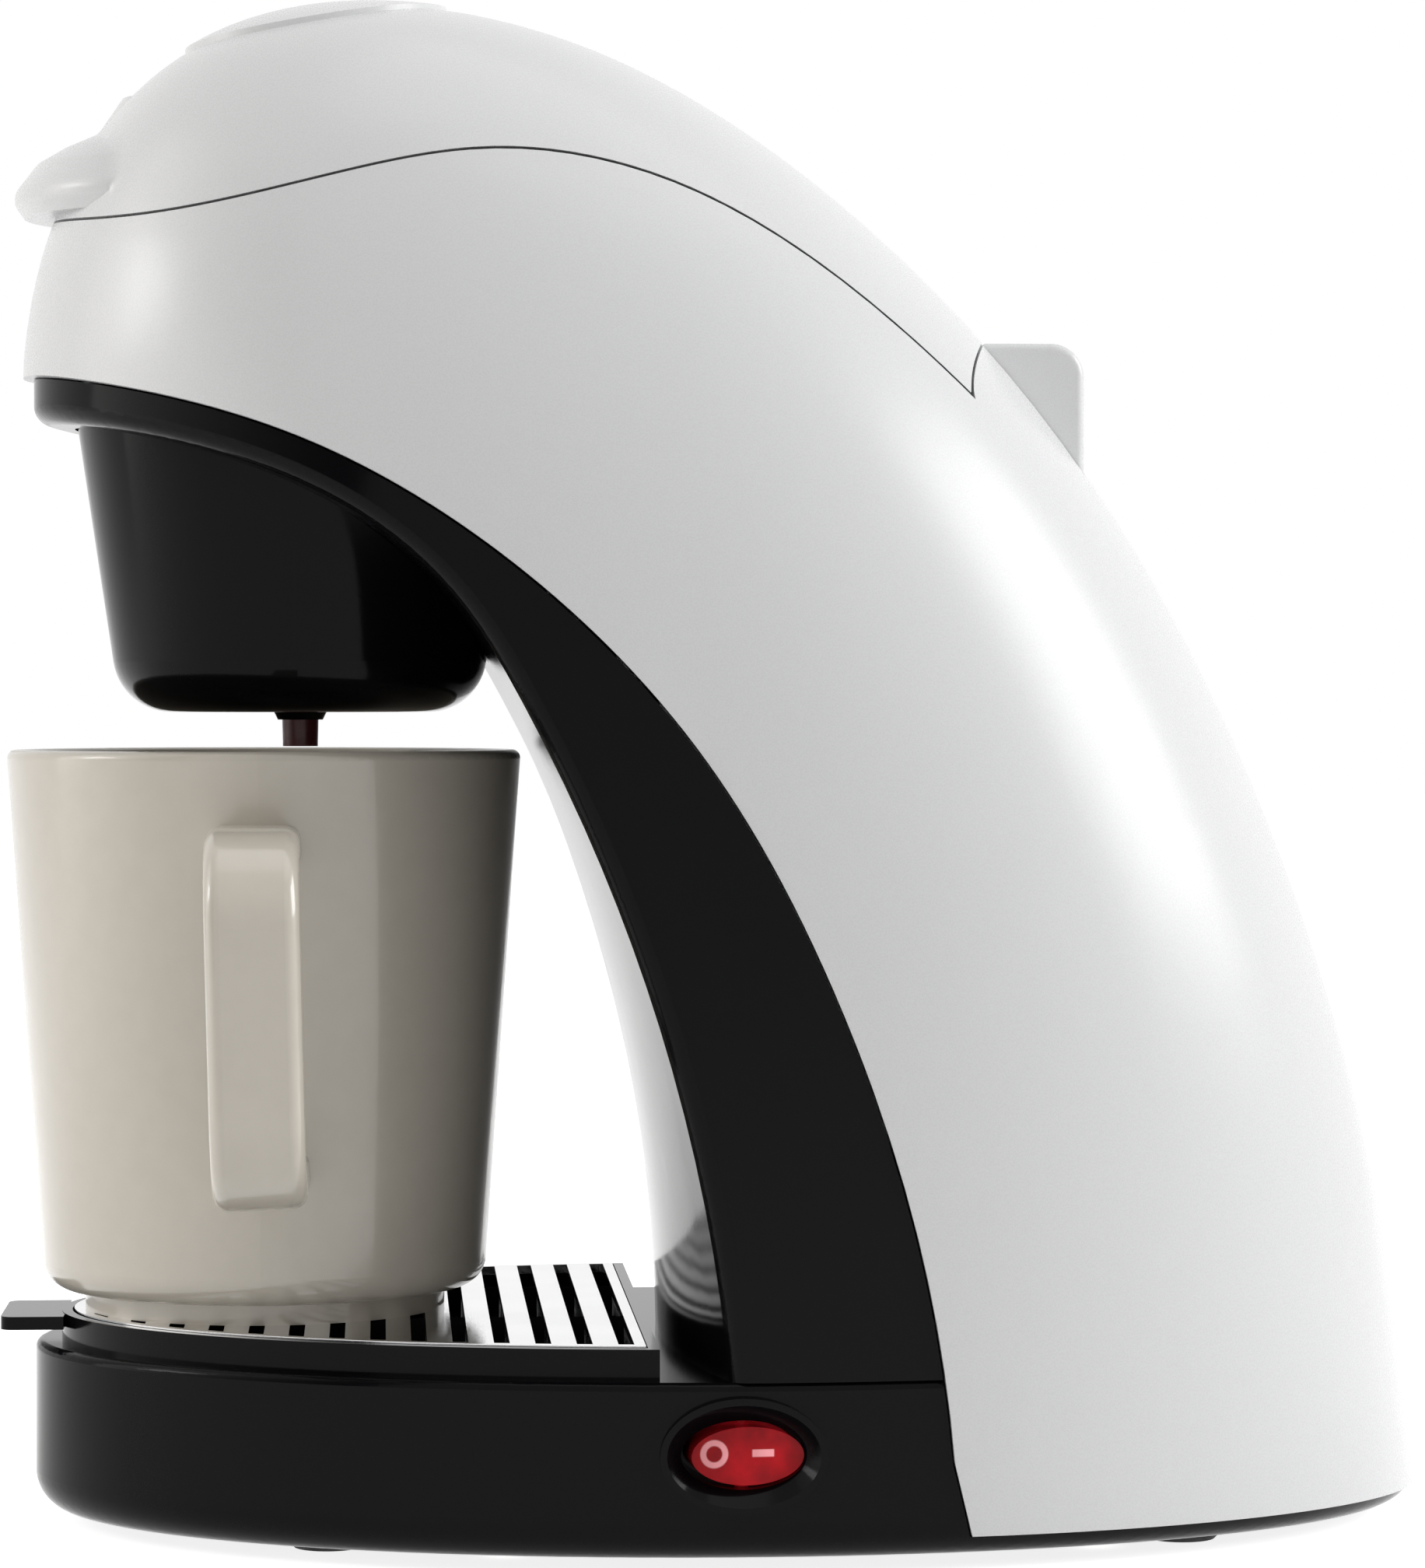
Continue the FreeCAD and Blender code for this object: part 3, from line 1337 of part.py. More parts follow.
def thermostat():
    seat = STRAP_TOP + " + strap_thickness"
    can = turned("thermostat_can", [("0", seat), ("thermostat_cap_radius", seat),
                                    ("thermostat_cap_radius", seat + " + thermostat_cap_height"),
                                    ("thermostat_radius", seat + " + thermostat_cap_height"),
                                    ("thermostat_radius", seat + " + thermostat_height"),
                                    ("0", seat + " + thermostat_height")], "strap_y")
    blades = [box("thermostat_blade_%d" % index,
                  "%d * terminal_spacing / 2 - terminal_thickness / 2" % side,
                  "%d * terminal_spacing / 2 + terminal_thickness / 2" % side,
                  "strap_y - terminal_width / 2", "strap_y + terminal_width / 2",
                  seat + " + thermostat_cap_height",
                  seat + " + thermostat_height + terminal_height")
              for index, side in enumerate(SIDES)]
    return joined("thermostat", can, *blades)


def thermal_fuse():
    item = doc.addObject("Part::Cylinder", "thermal_fuse")
    turn(item, SIDEWAYS, -90)
    bind(item, {"Radius": "fuse_radius", "Height": "fuse_length"})
    return place(item, "inlet_x", "fuse_y", "heater_z + tube_radius + fuse_radius + fit")


# Switch on the flank

def switch_bezel():
    rim = flank_oval("bezel_rim", "bezel_half_length", "bezel_half_height", "half_width - bezel_thickness",
                     "half_width + bezel_thickness")
    flank = oval("bezel_flank", "0", "0", "base_top")
    plate = without("bezel_plate", rim, flank)
    neck = flank_oval("bezel_neck", "neck_half_length", "neck_half_height", NECK_END,
                      "half_width + bezel_thickness / 2")
    room = flank_oval("bezel_room", ROOM_HALF_LENGTH, ROOM_HALF_HEIGHT, "0",
                      "half_width + 2 * bezel_thickness")
    pins = upright_pin("bezel_pin_bore", "rocker_pin + fit", "neck_half_height + wall")
    return without("switch_bezel", joined("bezel_whole", plate, neck), room, bezel_dish(), pins)


def bezel_dish():
    """The dish that falls from the bezel's rim to the key."""
    front = "half_width + bezel_thickness"
    rim = flank_outline("dish_rim", "bezel_half_length - bezel_rim", "bezel_half_height - bezel_rim", front)
    foot = flank_outline("dish_foot", ROOM_HALF_LENGTH, ROOM_HALF_HEIGHT, front + " - dish_depth")
    dish = doc.addObject("Part::Loft", "bezel_dish")
    dish.Sections = [foot, rim]
    dish.Solid = True
    dish.Ruled = True
    return dish


def upright_pin(name, radius, half_height):
    return cylinder(name, radius, "rocker_axis_x", "switch_y", "switch_z - (%s)" % half_height,
                    "switch_z + (%s)" % half_height)


def switch_rocker():
    """The lit key on its pin, tilted to the on side."""
    key = flank_oval("rocker_key", "rocker_half_length", "rocker_half_height",
                     "rocker_axis_x - rocker_depth", "half_width + rocker_proud")
    pin = upright_pin("rocker_pin", "rocker_pin", "neck_half_height - fit")
    whole = joined("rocker_level", key, pin)
    doc.recompute()
    shape = whole.Shape.copy()
    shape.rotate(point("rocker_axis_x", "switch_y", "switch_z"), UPRIGHT, size("rocker_tilt"))
    return feature("switch_rocker", shape)


def switch_body():
    front = NECK_END
    rear = NECK_END + " - switch_body_depth"
    case = box("switch_case", rear, front, "switch_y - switch_body_half_length",
               "switch_y + switch_body_half_length", "switch_z - switch_body_half_height",
               "switch_z + switch_body_half_height")
    blades = [box("switch_blade_%d" % index, rear + " - terminal_height", rear + " + terminal_thickness",
                  "switch_y + %d * terminal_spacing - terminal_thickness / 2" % side,
                  "switch_y + %d * terminal_spacing + terminal_thickness / 2" % side,
                  "switch_z - terminal_width / 2", "switch_z + terminal_width / 2")
              for index, side in enumerate(SIDES)]
    return joined("switch_body", case, *blades)


# Gland for the cord at the back

def back_cylinder(name, radius, y_from, y_to):
    item = doc.addObject("Part::Cylinder", name)
    turn(item, SIDEWAYS, -90)
    bind(item, {"Radius": radius, "Height": "(%s) - (%s)" % (y_to, y_from)})
    return place(item, "0", y_from, "gland_z")


def cord_gland():
    sleeve = back_cylinder("gland_sleeve", "gland_radius", "half_length - gland_depth", "half_length")
    flush = shared("gland_flush", sleeve, body_form)
    inside = "half_length - 2 * wall"
    flange = back_cylinder("gland_flange", "gland_flange_radius", inside + " - gland_flange_thickness",
                           inside)
    bore = back_cylinder("gland_bore", "gland_bore", "half_length - 2 * gland_depth",
                         "half_length + gland_depth")
    return without("cord_gland", joined("gland_whole", flush, flange), bore)


# Drip tray and grate

def drip_tray():
    outer = oval("tray_outer", "tray_inset", "base_top", "tray_top")
    inner = oval("tray_inner", "tray_inset + tray_wall", "base_top + tray_floor", "tray_top + wall")
    front = box("tray_front", "-half_width", "half_width", "-half_length", "tray_rear_y", "base_top",
                "tray_top")
    room = box("tray_room", "-half_width", "half_width", "-half_length", "tray_rear_y - tray_wall",
               "base_top + tray_floor", "tray_top + wall")
    tray = without("tray_pan", shared("tray_block", outer, front), shared("tray_hollow", inner, room))
    pull = box("tray_pull", "-pull_half_width", "pull_half_width", "pull_tip_y",
               "tray_inset + tray_wall / 2 - half_length", "pull_top - pull_thickness", "pull_top")
    tip = rounded("tray_pull_tip", pull, "pull_thickness", is_pull_corner)
    return joined("drip_tray", tray, tip)


def is_pull_corner(edge):
    """The two upright edges at the tip of the pull."""
    span = edge.BoundBox
    return span.ZLength > CLOSE and abs(span.YMax - size("pull_tip_y")) < CLOSE


def drip_grate():
    margin = "tray_inset + tray_wall + seam"
    rear = "tray_rear_y - tray_wall - seam"
    foot = "grate_top - grate_thickness"
    outline = oval("grate_outline", margin, foot, "grate_top")
    front = box("grate_front", "-half_width", "half_width", "-half_length", rear, foot, "grate_top")
    plate = shared("grate_plate", outline, front)
    zone = oval("slot_zone", margin + " + grate_frame", "0", "tray_top + wall")
    slots = [box("slot_%d" % index, "-half_width", "half_width",
                 "slot_first_y - %d * slot_pitch - slot_width" % index,
                 "slot_first_y - %d * slot_pitch" % index, "0", "tray_top + wall")
             for index in range(int(size("slot_count")))]
    slotted = without("grate_slotted", plate, shared("slot_cuts", zone, joined("slot_boxes", *slots)))
    ribs = [box("grate_rib_%d" % index, "%d * rib_half_spacing - rib_width / 2" % side,
                "%d * rib_half_spacing + rib_width / 2" % side, "slot_first_y - slot_count * slot_pitch",
                rear, "base_top + tray_floor", "grate_top")
            for index, side in enumerate(SIDES)]
    return joined("drip_grate", slotted, *[shared("grate_rib_trimmed_%d" % index, rib, zone)
                                           for index, rib in enumerate(ribs)])


# Mug

def mug():
    foot = "grate_top"
    floor = foot + " + mug_foot_height"
    inside = floor + " + mug_floor"
    cup = turned("mug_cup", [("0", floor), ("mug_foot_radius - mug_wall", floor),
                             ("mug_foot_radius - mug_wall", foot), ("mug_foot_radius", foot),
                             ("mug_foot_radius", floor), ("mug_low_radius", floor),
                             ("mug_rim_radius", "mug_rim_z"), ("mug_rim_radius - mug_wall", "mug_rim_z"),
                             ("mug_low_radius - mug_wall", inside), ("0", inside)], "mug_y")
    heel = rounded("mug_with_heel", cup, "mug_heel", is_ring("mug_low_radius", floor))
    bowl = rounded("mug_with_bowl", heel, "mug_inner_round", is_ring("mug_low_radius - mug_wall", inside))
    lip = rounded("mug_with_lip", bowl, "mug_lip", at_height("mug_rim_z"))
    handle = without("handle_outside", feature("handle_loop", mug_handle()), mug_room())
    return joined("mug", lip, handle)


def mug_room():
    """A plug within the mug's wall that keeps the handle's roots out of the cup."""
    half_wall = "mug_wall / 2"
    return turned("mug_plug", [("0", "grate_top"), ("mug_low_radius - " + half_wall, "grate_top"),
                               ("mug_rim_radius - " + half_wall, "mug_rim_z"), ("0", "mug_rim_z")], "mug_y")


def mug_handle():
    """A flat strap with soft edges, bent from the wall below the rim to the wall above the heel."""
    half = size("handle_thickness / 2")
    wide = size("handle_width / 2")
    reach = size("handle_reach") - half
    top = Vector(0, size("mug_y - handle_lean / 2"), size("handle_top_z") - half)
    foot = Vector(0, size("mug_y + handle_lean / 2"), size("handle_foot_z") + half)
    root = size("mug_low_radius - mug_wall") * SIDEWAYS
    route = [top + root, top + SIDEWAYS * reach, foot + SIDEWAYS * reach, foot + root]
    sides = [(wide, 0), (wide, half), (-wide, half), (-wide, -half), (wide, -half), (wide, 0)]
    outline = [route[0] + LENGTHWAYS * across + UPRIGHT * along for across, along in sides]
    section = bent_path(outline, size("handle_edge"))
    return bent_path(route, size("handle_bend")).makePipeShell([section], True, False)


SUBPARTS = [base_housing(), bottom_cover(), bottom_screws(), rubber_feet(), outer_shell(), front_frame(),
            hinge_block(), hinge_pin(), lid_cover(), lid_liner(), shower_head(), top_deck(), brew_funnel(),
            drip_nozzle(), filter_frame(), filter_mesh(), water_tank(), inlet_hose(), check_valve(),
            boiler_tube(), heating_element(), heater_strap(), heater_screws(), thermostat(), thermal_fuse(),
            outlet_hose(), riser_tube(), riser_spout(), hose_clamps(), switch_bezel(), switch_body(),
            switch_rocker(), cord_gland(), drip_tray(), drip_grate(), mug()]
doc.recompute()

for item in doc.Objects:
    if set(item.State) & {"Invalid", "Error"}:
        raise RuntimeError("%s did not build: %s" % (item.Label, item.State))
for item in SUBPARTS:
    if item.Shape.isNull() or not item.Shape.isValid():
        raise RuntimeError("%s has no valid shape" % item.Label)
os.makedirs("parts", exist_ok=True)
for item in SUBPARTS:
    item.Shape.exportStep("parts/%s.step" % item.Label)
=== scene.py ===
import json
import math

import bpy
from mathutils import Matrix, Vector

# Single-serve drip coffee maker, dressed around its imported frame.
# Metres, +Z up, the front towards -Y, the switch on the +X flank.

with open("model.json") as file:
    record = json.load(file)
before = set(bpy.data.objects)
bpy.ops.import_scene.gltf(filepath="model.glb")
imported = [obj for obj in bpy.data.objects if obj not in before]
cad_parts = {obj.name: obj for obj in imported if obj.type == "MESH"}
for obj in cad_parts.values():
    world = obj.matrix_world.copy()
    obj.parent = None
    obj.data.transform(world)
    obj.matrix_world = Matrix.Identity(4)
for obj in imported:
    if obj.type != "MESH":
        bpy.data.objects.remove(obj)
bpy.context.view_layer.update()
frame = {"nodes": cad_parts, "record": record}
NODES = frame["nodes"]
MM = 0.001
EDGE_ANGLE = math.radians(35)

# Camera: nearly level, nearly square to the flank with the switch
CAMERA_AT = Vector((0.7982, -0.0541, 0.1262))
CAMERA_AIM = Vector((0.0, -0.0027, 0.11317))
FOCAL_PIXELS = 6616
FRAME_HEIGHT_PIXELS = 2016
SENSOR_MM = 36

# Marks printed on the rocker, as places on its face
RING_AT = (0, -6.5 * MM, 18.0 * MM)
RING_RADIUS = 1.6 * MM
RING_HALF = 0.3 * MM
BAR_Y = 0.6 * MM
BAR_Z = 18.0 * MM
BAR_LENGTH_HALF = 1.45 * MM
BAR_HALF = 0.4 * MM
MARK_SOFT = 0.25 * MM

# Glow of the lamp behind the rocker
LAMP_Y = 0.5 * MM
LAMP_HALF = 1 * MM
LAMP_FADE = 10 * MM

# Slots of the grate, and the ribs that cross under them
SLOT_Y = -18.65 * MM
SLOT_PITCH = 6 * MM
SLOT_HALF = 1.15 * MM
RIB_X = 20 * MM
RIB_HALF = 0.8 * MM
RIB_SOFT = 0.03 * MM

# The middle range of a noise texture, which holds nearly all of its values
NOISE_LOW = 0.15
NOISE_HIGH = 0.85

# Seam between the lid and the shell
WELD_WITHIN = 0.001 * MM
SEAM_SWELL = 0.115 * MM

# Stage and light
FLOOR_HALF = 6
FLOOR_GLOW = 0.82
AMBIENT = 0.37
CENTRE = (0, 0, 0.11)
PANEL_FAR = (-0.25, -1.17)
PANEL_NEAR = (0.92, -0.77)
PANEL_FOOT = 0.01
PANEL_TOP = 1.3
PANEL_STRENGTH = 2.6
PANEL_COLOUR = (1, 0.98, 0.95, 1)


# Material helpers

def new_material(name):
    """A node material, its node tree and the inputs of its surface."""
    material = bpy.data.materials.new(name)
    material.use_nodes = True
    tree = material.node_tree
    return material, tree, tree.nodes["Principled BSDF"].inputs


def add(tree, kind, **settings):
    """A node of the given kind; settings name its properties or, failing that, its inputs."""
    node = tree.nodes.new(kind)
    for name, value in settings.items():
        if hasattr(node, name):
            setattr(node, name, value)
        else:
            node.inputs[name.replace("_", " ")].default_value = value
    return node


def feed(tree, value, target):
    """The target takes a link from another socket, or a plain value."""
    if isinstance(value, bpy.types.NodeSocket):
        tree.links.new(value, target)
    else:
        target.default_value = value


def coordinates(tree, kind="Object"):
    return add(tree, "ShaderNodeTexCoord").outputs[kind]


def axes(tree, vector):
    """The X, Y and Z outputs of a vector."""
    split = add(tree, "ShaderNodeSeparateXYZ")
    feed(tree, vector, split.inputs["Vector"])
    return split.outputs


def calc(tree, operation, *terms):
    """A math node over sockets and numbers."""
    node = add(tree, "ShaderNodeMath", operation=operation)
    for target, term in zip(node.inputs, terms):
        feed(tree, term, target)
    return node.outputs[0]


def remap(tree, source, start, end, low, high, shape="LINEAR"):
    """The source's range from start to end, run from low to high."""
    node = add(tree, "ShaderNodeMapRange", interpolation_type=shape)
    for name, value in (("From Min", start), ("From Max", end), ("To Min", low), ("To Max", high)):
        node.inputs[name].default_value = value
    feed(tree, source, node.inputs["Value"])
    return node.outputs["Result"]


def blend(tree, factor, first, second):
    """A colour that runs from the first to the second with the factor."""
    mix = add(tree, "ShaderNodeMix", data_type="RGBA")
    feed(tree, factor, mix.inputs["Factor"])
    feed(tree, first, mix.inputs["A"])
    feed(tree, second, mix.inputs["B"])
    return mix.outputs["Result"]


def noise(tree, scale, detail=4, stretch=(1, 1, 1)):
    """Noise over the object's own coordinates, in cycles per metre."""
    mapping = add(tree, "ShaderNodeMapping", Scale=stretch)
    grain = add(tree, "ShaderNodeTexNoise", Scale=scale, Detail=detail)
    feed(tree, coordinates(tree), mapping.inputs["Vector"])
    feed(tree, mapping.outputs["Vector"], grain.inputs["Vector"])
    return grain.outputs["Fac"]


def spread(tree, source, low, high):
    """A noise's middle range stretched to run smoothly from low to high."""
    return remap(tree, source, NOISE_LOW, NOISE_HIGH, low, high, "SMOOTHERSTEP")


def tint(tree, source, dark, light):
    """A colour that runs from dark to light with a noise."""
    return blend(tree, spread(tree, source, 0, 1), (*dark, 1), (*light, 1))


def bump(tree, source, strength, depth):
    """The source as relief on the surface."""
    node = add(tree, "ShaderNodeBump", Strength=strength, Distance=depth)
    feed(tree, source, node.inputs["Height"])
    feed(tree, node.outputs["Normal"], tree.nodes["Principled BSDF"].inputs["Normal"])


def within(tree, source, centre, reach, soft):
    """1 where the source lies within reach of the centre, falling to 0 over the soft margin."""
    offset = calc(tree, "ABSOLUTE", calc(tree, "SUBTRACT", source, centre))
    return remap(tree, offset, reach, reach + soft, 1, 0, "SMOOTHSTEP")


# Materials

def moulded(name, dark, light, rough, skin=None, sheen=0.5):
    """Moulded plastic: a grain in colour and gloss too fine to show from afar, and any skin's relief."""
    material, tree, inputs = new_material(name)
    feed(tree, tint(tree, noise(tree, scale=6000, detail=3), dark, light), inputs["Base Color"])
    feed(tree, spread(tree, noise(tree, scale=4000, detail=3), *rough), inputs["Roughness"])
    inputs["Specular IOR Level"].default_value = sheen
    if skin:
        grain, depth = skin
        bump(tree, noise(tree, scale=grain, detail=2), strength=0.25, depth=depth)
    return material


def metal(name, dark, light, rough, stretch):
    """Bare metal with fine marks drawn out along one direction."""
    material, tree, inputs = new_material(name)
    inputs["Metallic"].default_value = 1
    marks = noise(tree, scale=400, detail=6, stretch=stretch)
    feed(tree, tint(tree, noise(tree, scale=50), dark, light), inputs["Base Color"])
    feed(tree, spread(tree, marks, *rough), inputs["Roughness"])
    bump(tree, marks, strength=0.1, depth=0.05 * MM)
    return material


def rubbery(name, dark, light, rough, see_through=0):
    """Rubber or silicone with a dull, finely pitted skin."""
    material, tree, inputs = new_material(name)
    feed(tree, tint(tree, noise(tree, scale=90), dark, light), inputs["Base Color"])
    feed(tree, spread(tree, noise(tree, scale=300), *rough), inputs["Roughness"])
    inputs["Transmission Weight"].default_value = see_through
    bump(tree, noise(tree, scale=1500, detail=2), strength=0.3, depth=0.05 * MM)
    return material


def clear_plastic(name):
    """Milky moulded plastic of the tank."""
    material, tree, inputs = new_material(name)
    milk = tint(tree, noise(tree, scale=25), dark=(0.74, 0.77, 0.8), light=(0.84, 0.86, 0.88))
    feed(tree, milk, inputs["Base Color"])
    feed(tree, spread(tree, noise(tree, scale=200), 0.18, 0.3), inputs["Roughness"])
    inputs["Transmission Weight"].default_value = 0.6
    bump(tree, noise(tree, scale=700, detail=2), strength=0.2, depth=0.05 * MM)
    return material


def printed_marks(tree, across, up):
    """1 on the ring and the bar that are printed on the rocker's face."""
    flat = add(tree, "ShaderNodeCombineXYZ")
    feed(tree, across, flat.inputs["Y"])
    feed(tree, up, flat.inputs["Z"])
    reach = add(tree, "ShaderNodeVectorMath", operation="DISTANCE")
    feed(tree, flat.outputs["Vector"], reach.inputs[0])
    feed(tree, RING_AT, reach.inputs[1])
    ring = within(tree, reach.outputs["Value"], RING_RADIUS, RING_HALF, MARK_SOFT)
    bar = calc(tree, "MULTIPLY", within(tree, across, BAR_Y, BAR_LENGTH_HALF, MARK_SOFT),
               within(tree, up, BAR_Z, BAR_HALF, MARK_SOFT))
    return calc(tree, "MAXIMUM", ring, bar)


def lit_red(name):
    """Translucent red key with a lamp behind it and the on and off marks printed on its face."""
    material, tree, inputs = new_material(name)
    place = axes(tree, coordinates(tree))
    across, up = place["Y"], place["Z"]
    grain = noise(tree, scale=220)
    red = tint(tree, grain, dark=(0.17, 0.003, 0.006), light=(0.36, 0.006, 0.01))
    colour = blend(tree, printed_marks(tree, across, up), red, (0.75, 0.3, 0.32, 1))
    feed(tree, colour, inputs["Base Color"])
    feed(tree, colour, inputs["Emission Color"])
    lamp = within(tree, across, LAMP_Y, LAMP_HALF, LAMP_FADE)
    flicker = spread(tree, noise(tree, scale=160, detail=3), 0.15, 0.75)
    feed(tree, calc(tree, "MULTIPLY", lamp, flicker), inputs["Emission Strength"])
    feed(tree, spread(tree, grain, 0.12, 0.25), inputs["Roughness"])
    inputs["Specular IOR Level"].default_value = 0.1
    return material


def stoneware(name):
    """Warm off-white glaze with faint mottling and a softly uneven surface."""
    material, tree, inputs = new_material(name)
    glaze = tint(tree, noise(tree, scale=260), dark=(0.615, 0.567, 0.488), light=(0.635, 0.587, 0.508))
    feed(tree, glaze, inputs["Base Color"])
    feed(tree, spread(tree, noise(tree, scale=120), 0.2, 0.26), inputs["Roughness"])
    inputs["Coat Weight"].default_value = 0.4
    bump(tree, noise(tree, scale=70, detail=3), strength=0.06, depth=0.3 * MM)
    return material


def polished(name):
    """Bright steel with fine marks along its length."""
    return metal(name, (0.78, 0.78, 0.79), (0.88, 0.88, 0.88), rough=(0.06, 0.16), stretch=(1, 12, 1))


def slotted_steel(name):
    """Polished plate of the grate; where its ribs cross under the slots they are coloured near-black and
    non-metallic, as painted shade.
    """
    material = polished(name)
    tree = material.node_tree
    inputs = tree.nodes["Principled BSDF"].inputs
    plate = inputs["Base Color"].links[0].from_socket
    place = axes(tree, coordinates(tree))
    side = calc(tree, "ABSOLUTE", place["X"])
    from_slot = calc(tree, "PINGPONG", calc(tree, "SUBTRACT", place["Y"], SLOT_Y), SLOT_PITCH / 2)
    # Painted shade: the ribs under the slots turn near-black, as if in the shadow of the plate above them
    painted_rib_shade = calc(tree, "MULTIPLY", within(tree, side, RIB_X, RIB_HALF, RIB_SOFT),
                within(tree, from_slot, 0, SLOT_HALF, RIB_SOFT))
    feed(tree, blend(tree, painted_rib_shade, plate, (0.01, 0.01, 0.01, 1)), inputs["Base Color"])
    feed(tree, calc(tree, "SUBTRACT", 1, painted_rib_shade), inputs["Metallic"])
    inputs["Specular IOR Level"].default_value = 0
    return material


def sieve(name):
    """Fine woven steel, seen as a small regular weave."""
    material, tree, inputs = new_material(name)
    inputs["Metallic"].default_value = 1
    weave = add(tree, "ShaderNodeTexChecker", Scale=900,
                Color1=(0.62, 0.62, 0.6, 1), Color2=(0.2, 0.2, 0.2, 1))
    feed(tree, coordinates(tree), weave.inputs["Vector"])
    feed(tree, weave.outputs["Color"], inputs["Base Color"])
    feed(tree, spread(tree, noise(tree, scale=200), 0.25, 0.45), inputs["Roughness"])
    bump(tree, weave.outputs["Fac"], strength=0.5, depth=0.1 * MM)
    return material


MATERIALS = {
    "white_plastic": moulded("white_abs", (0.756, 0.76, 0.764), (0.761, 0.765, 0.769), rough=(0.26, 0.29)),
    "black_plastic": moulded("black_abs", (0.0025, 0.0025, 0.003), (0.004, 0.004, 0.005), rough=(0.1, 0.15),
                             skin=(900, 0.02 * MM), sheen=0.08),
    "dark_plastic": moulded("dark_plastic", (0.014, 0.014, 0.016), (0.026, 0.026, 0.028), rough=(0.4, 0.6),
                            skin=(1600, 0.06 * MM)),
    "clear_plastic": clear_plastic("tank_plastic"),
    "red_plastic": lit_red("lit_red"),
    "polished_steel": polished("polished_steel"),
    "steel_mesh": sieve("sieve"),
    "plated_steel": metal("zinc", (0.5, 0.5, 0.48), (0.64, 0.64, 0.6), rough=(0.3, 0.5), stretch=(1, 1, 1)),
    "aluminium": metal("aluminium", (0.62, 0.62, 0.64), (0.74, 0.74, 0.75), rough=(0.25, 0.4),
                       stretch=(1, 6, 1)),
    "silicone": rubbery("silicone", (0.68, 0.68, 0.66), (0.78, 0.78, 0.75), rough=(0.35, 0.5),
                        see_through=0.3),
    "maroon_silicone": rubbery("maroon_silicone", (0.09, 0.008, 0.012), (0.17, 0.018, 0.022),
                               rough=(0.25, 0.4)),
    "rubber": rubbery("rubber", (0.012, 0.012, 0.012), (0.03, 0.03, 0.03), rough=(0.6, 0.8)),
    "glazed_stoneware": stoneware("stoneware"),
}
OWN_MATERIALS = {"drip_grate": slotted_steel("grate_steel")}


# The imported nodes

def dress_frame():
    """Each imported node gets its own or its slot's material, and smooth shading with crisp edges."""
    for row in frame["record"]["subparts"]:
        mesh = NODES[row["node"]].data
        mesh.materials.clear()
        mesh.materials.append(OWN_MATERIALS.get(row["node"], MATERIALS[row["material_slot"]]))
        mesh.shade_smooth()
        mesh.set_sharp_from_angle(angle=EDGE_ANGLE)


def close_seam():
    """The lid and the shell swell by a hair, so that the line between them looks finer."""
    for name in ("lid_cover", "outer_shell"):
        weld = NODES[name].modifiers.new("weld", "WELD")
        weld.merge_threshold = WELD_WITHIN
        swell = NODES[name].modifiers.new("swell", "DISPLACE")
        swell.mid_level = 0
        swell.strength = SEAM_SWELL
        crisp = NODES[name].modifiers.new("crisp", "EDGE_SPLIT")
        crisp.split_angle = EDGE_ANGLE


# Stage, light and camera

def show(name, data):
    """An object of the data, in the scene."""
    thing = bpy.data.objects.new(name, data)
    bpy.context.scene.collection.objects.link(thing)
    return thing


def look(thing, at, aim):
    """The thing stands at one point and faces another."""
    thing.location = at
    thing.rotation_euler = (Vector(aim) - Vector(at)).to_track_quat("-Z", "Y").to_euler()


def stage_plane(name, corners, material):
    mesh = bpy.data.meshes.new(name)
    mesh.from_pydata(corners, [], [range(len(corners))])
    mesh.materials.append(material)
    plane = show(name, mesh)
    return plane


def seen_rays(tree):
    """1 for the rays that show the background: straight, mirrored or through something clear."""
    rays = add(tree, "ShaderNodeLightPath").outputs
    mirrored = calc(tree, "MAXIMUM", rays["Is Glossy Ray"], rays["Is Transmission Ray"])
    return calc(tree, "MAXIMUM", rays["Is Camera Ray"], mirrored)


def glowing_floor(name):
    """A pale diffuse floor that glows white for the rays that show the background."""
    material, tree, inputs = new_material(name)
    pale = tint(tree, noise(tree, scale=8), dark=(0.8, 0.8, 0.8), light=(0.82, 0.82, 0.82))
    feed(tree, pale, inputs["Base Color"])
    inputs["Roughness"].default_value = 0.9
    inputs["Specular IOR Level"].default_value = 0
    inputs["Emission Color"].default_value = (1, 1, 1, 1)
    feed(tree, calc(tree, "MULTIPLY", seen_rays(tree), FLOOR_GLOW), inputs["Emission Strength"])
    return material


def softbox(name, at, aim, width, height, power):
    """A rectangular studio lamp."""
    data = bpy.data.lights.new(name, "AREA")
    data.shape = "RECTANGLE"
    data.size = width
    data.size_y = height
    data.energy = power
    look(show(name, data), at, aim)


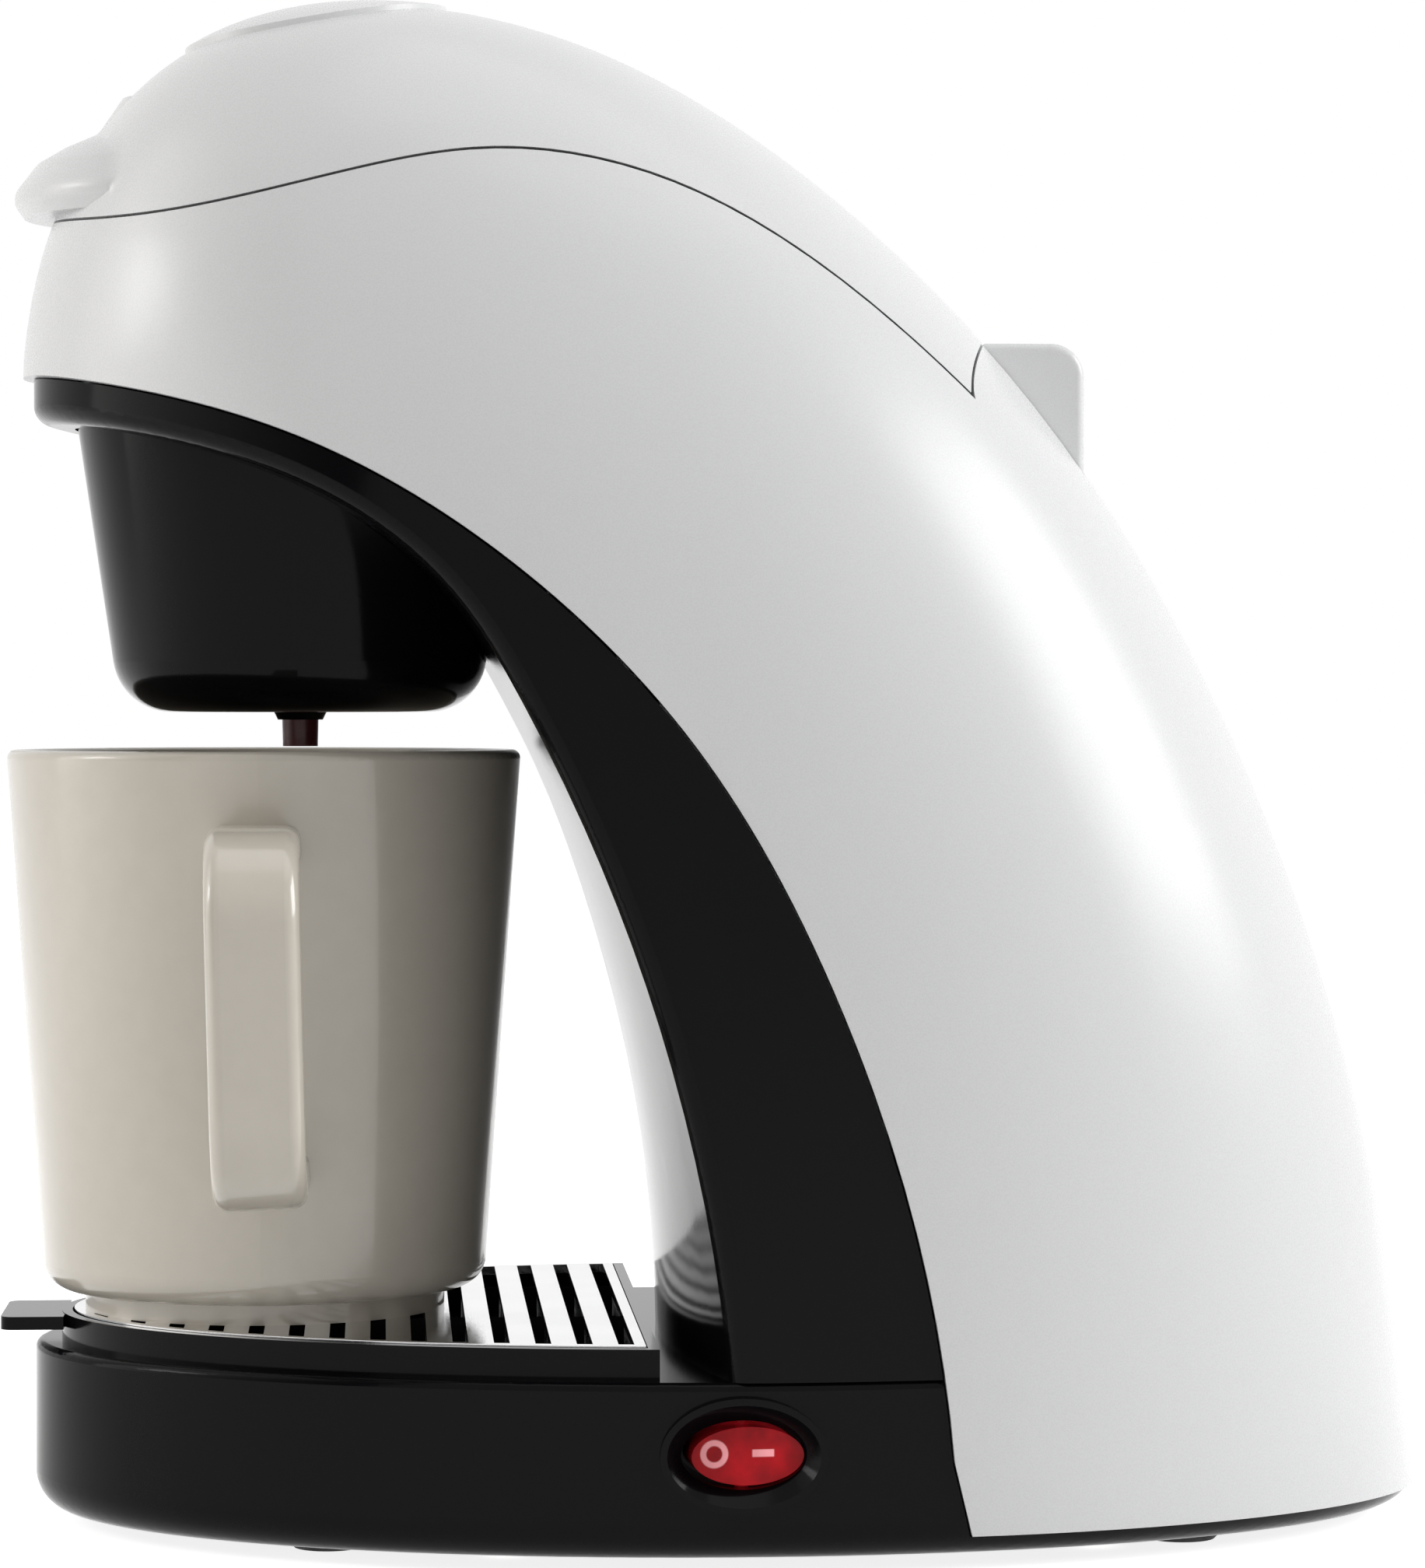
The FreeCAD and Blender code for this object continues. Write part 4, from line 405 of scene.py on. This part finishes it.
def fading_panel(name, corners, strength):
    """A tall panel whose glow fades from its first upright edge to its second."""
    material, tree, inputs = new_material(name)
    across = axes(tree, coordinates(tree, "Generated"))["X"]
    inputs["Base Color"].default_value = (0, 0, 0, 1)
    inputs["Emission Color"].default_value = PANEL_COLOUR
    feed(tree, remap(tree, across, 1, 0, 0, strength, "SMOOTHSTEP"), inputs["Emission Strength"])
    panel = stage_plane(name, corners, material)
    panel.visible_camera = False


def build_stage():
    corners = [(-FLOOR_HALF, -FLOOR_HALF, 0), (FLOOR_HALF, -FLOOR_HALF, 0),
               (FLOOR_HALF, FLOOR_HALF, 0), (-FLOOR_HALF, FLOOR_HALF, 0)]
    stage_plane("floor", corners, glowing_floor("floor_white"))
    world = bpy.data.worlds.new("studio")
    world.use_nodes = True
    tree = world.node_tree
    sky = tree.nodes["Background"].inputs
    sky["Color"].default_value = (1, 1, 1, 1)
    feed(tree, remap(tree, seen_rays(tree), 0, 1, AMBIENT, 1), sky["Strength"])
    bpy.context.scene.world = world


def build_lights():
    corners = [(*PANEL_FAR, PANEL_FOOT), (*PANEL_NEAR, PANEL_FOOT),
               (*PANEL_NEAR, PANEL_TOP), (*PANEL_FAR, PANEL_TOP)]
    fading_panel("front_panel", corners, PANEL_STRENGTH)
    softbox("front", at=(0.16, -1.0, 0.5), aim=(0.03, -0.08, 0.19), width=0.25, height=0.3, power=1.6)
    softbox("top", at=(0.1, 0.2, 1.4), aim=CENTRE, width=1.0, height=1.0, power=2.5)
    softbox("rear", at=(0.3, 1.35, 0.75), aim=CENTRE, width=0.8, height=0.8, power=14.5)


def build_camera():
    data = bpy.data.cameras.new("camera")
    data.sensor_width = SENSOR_MM
    data.lens = FOCAL_PIXELS / FRAME_HEIGHT_PIXELS * SENSOR_MM
    camera = show("camera", data)
    look(camera, CAMERA_AT, CAMERA_AIM)
    bpy.context.scene.camera = camera


dress_frame()
close_seam()
build_stage()
build_lights()
build_camera()
bpy.context.scene.view_settings.view_transform = "Standard"
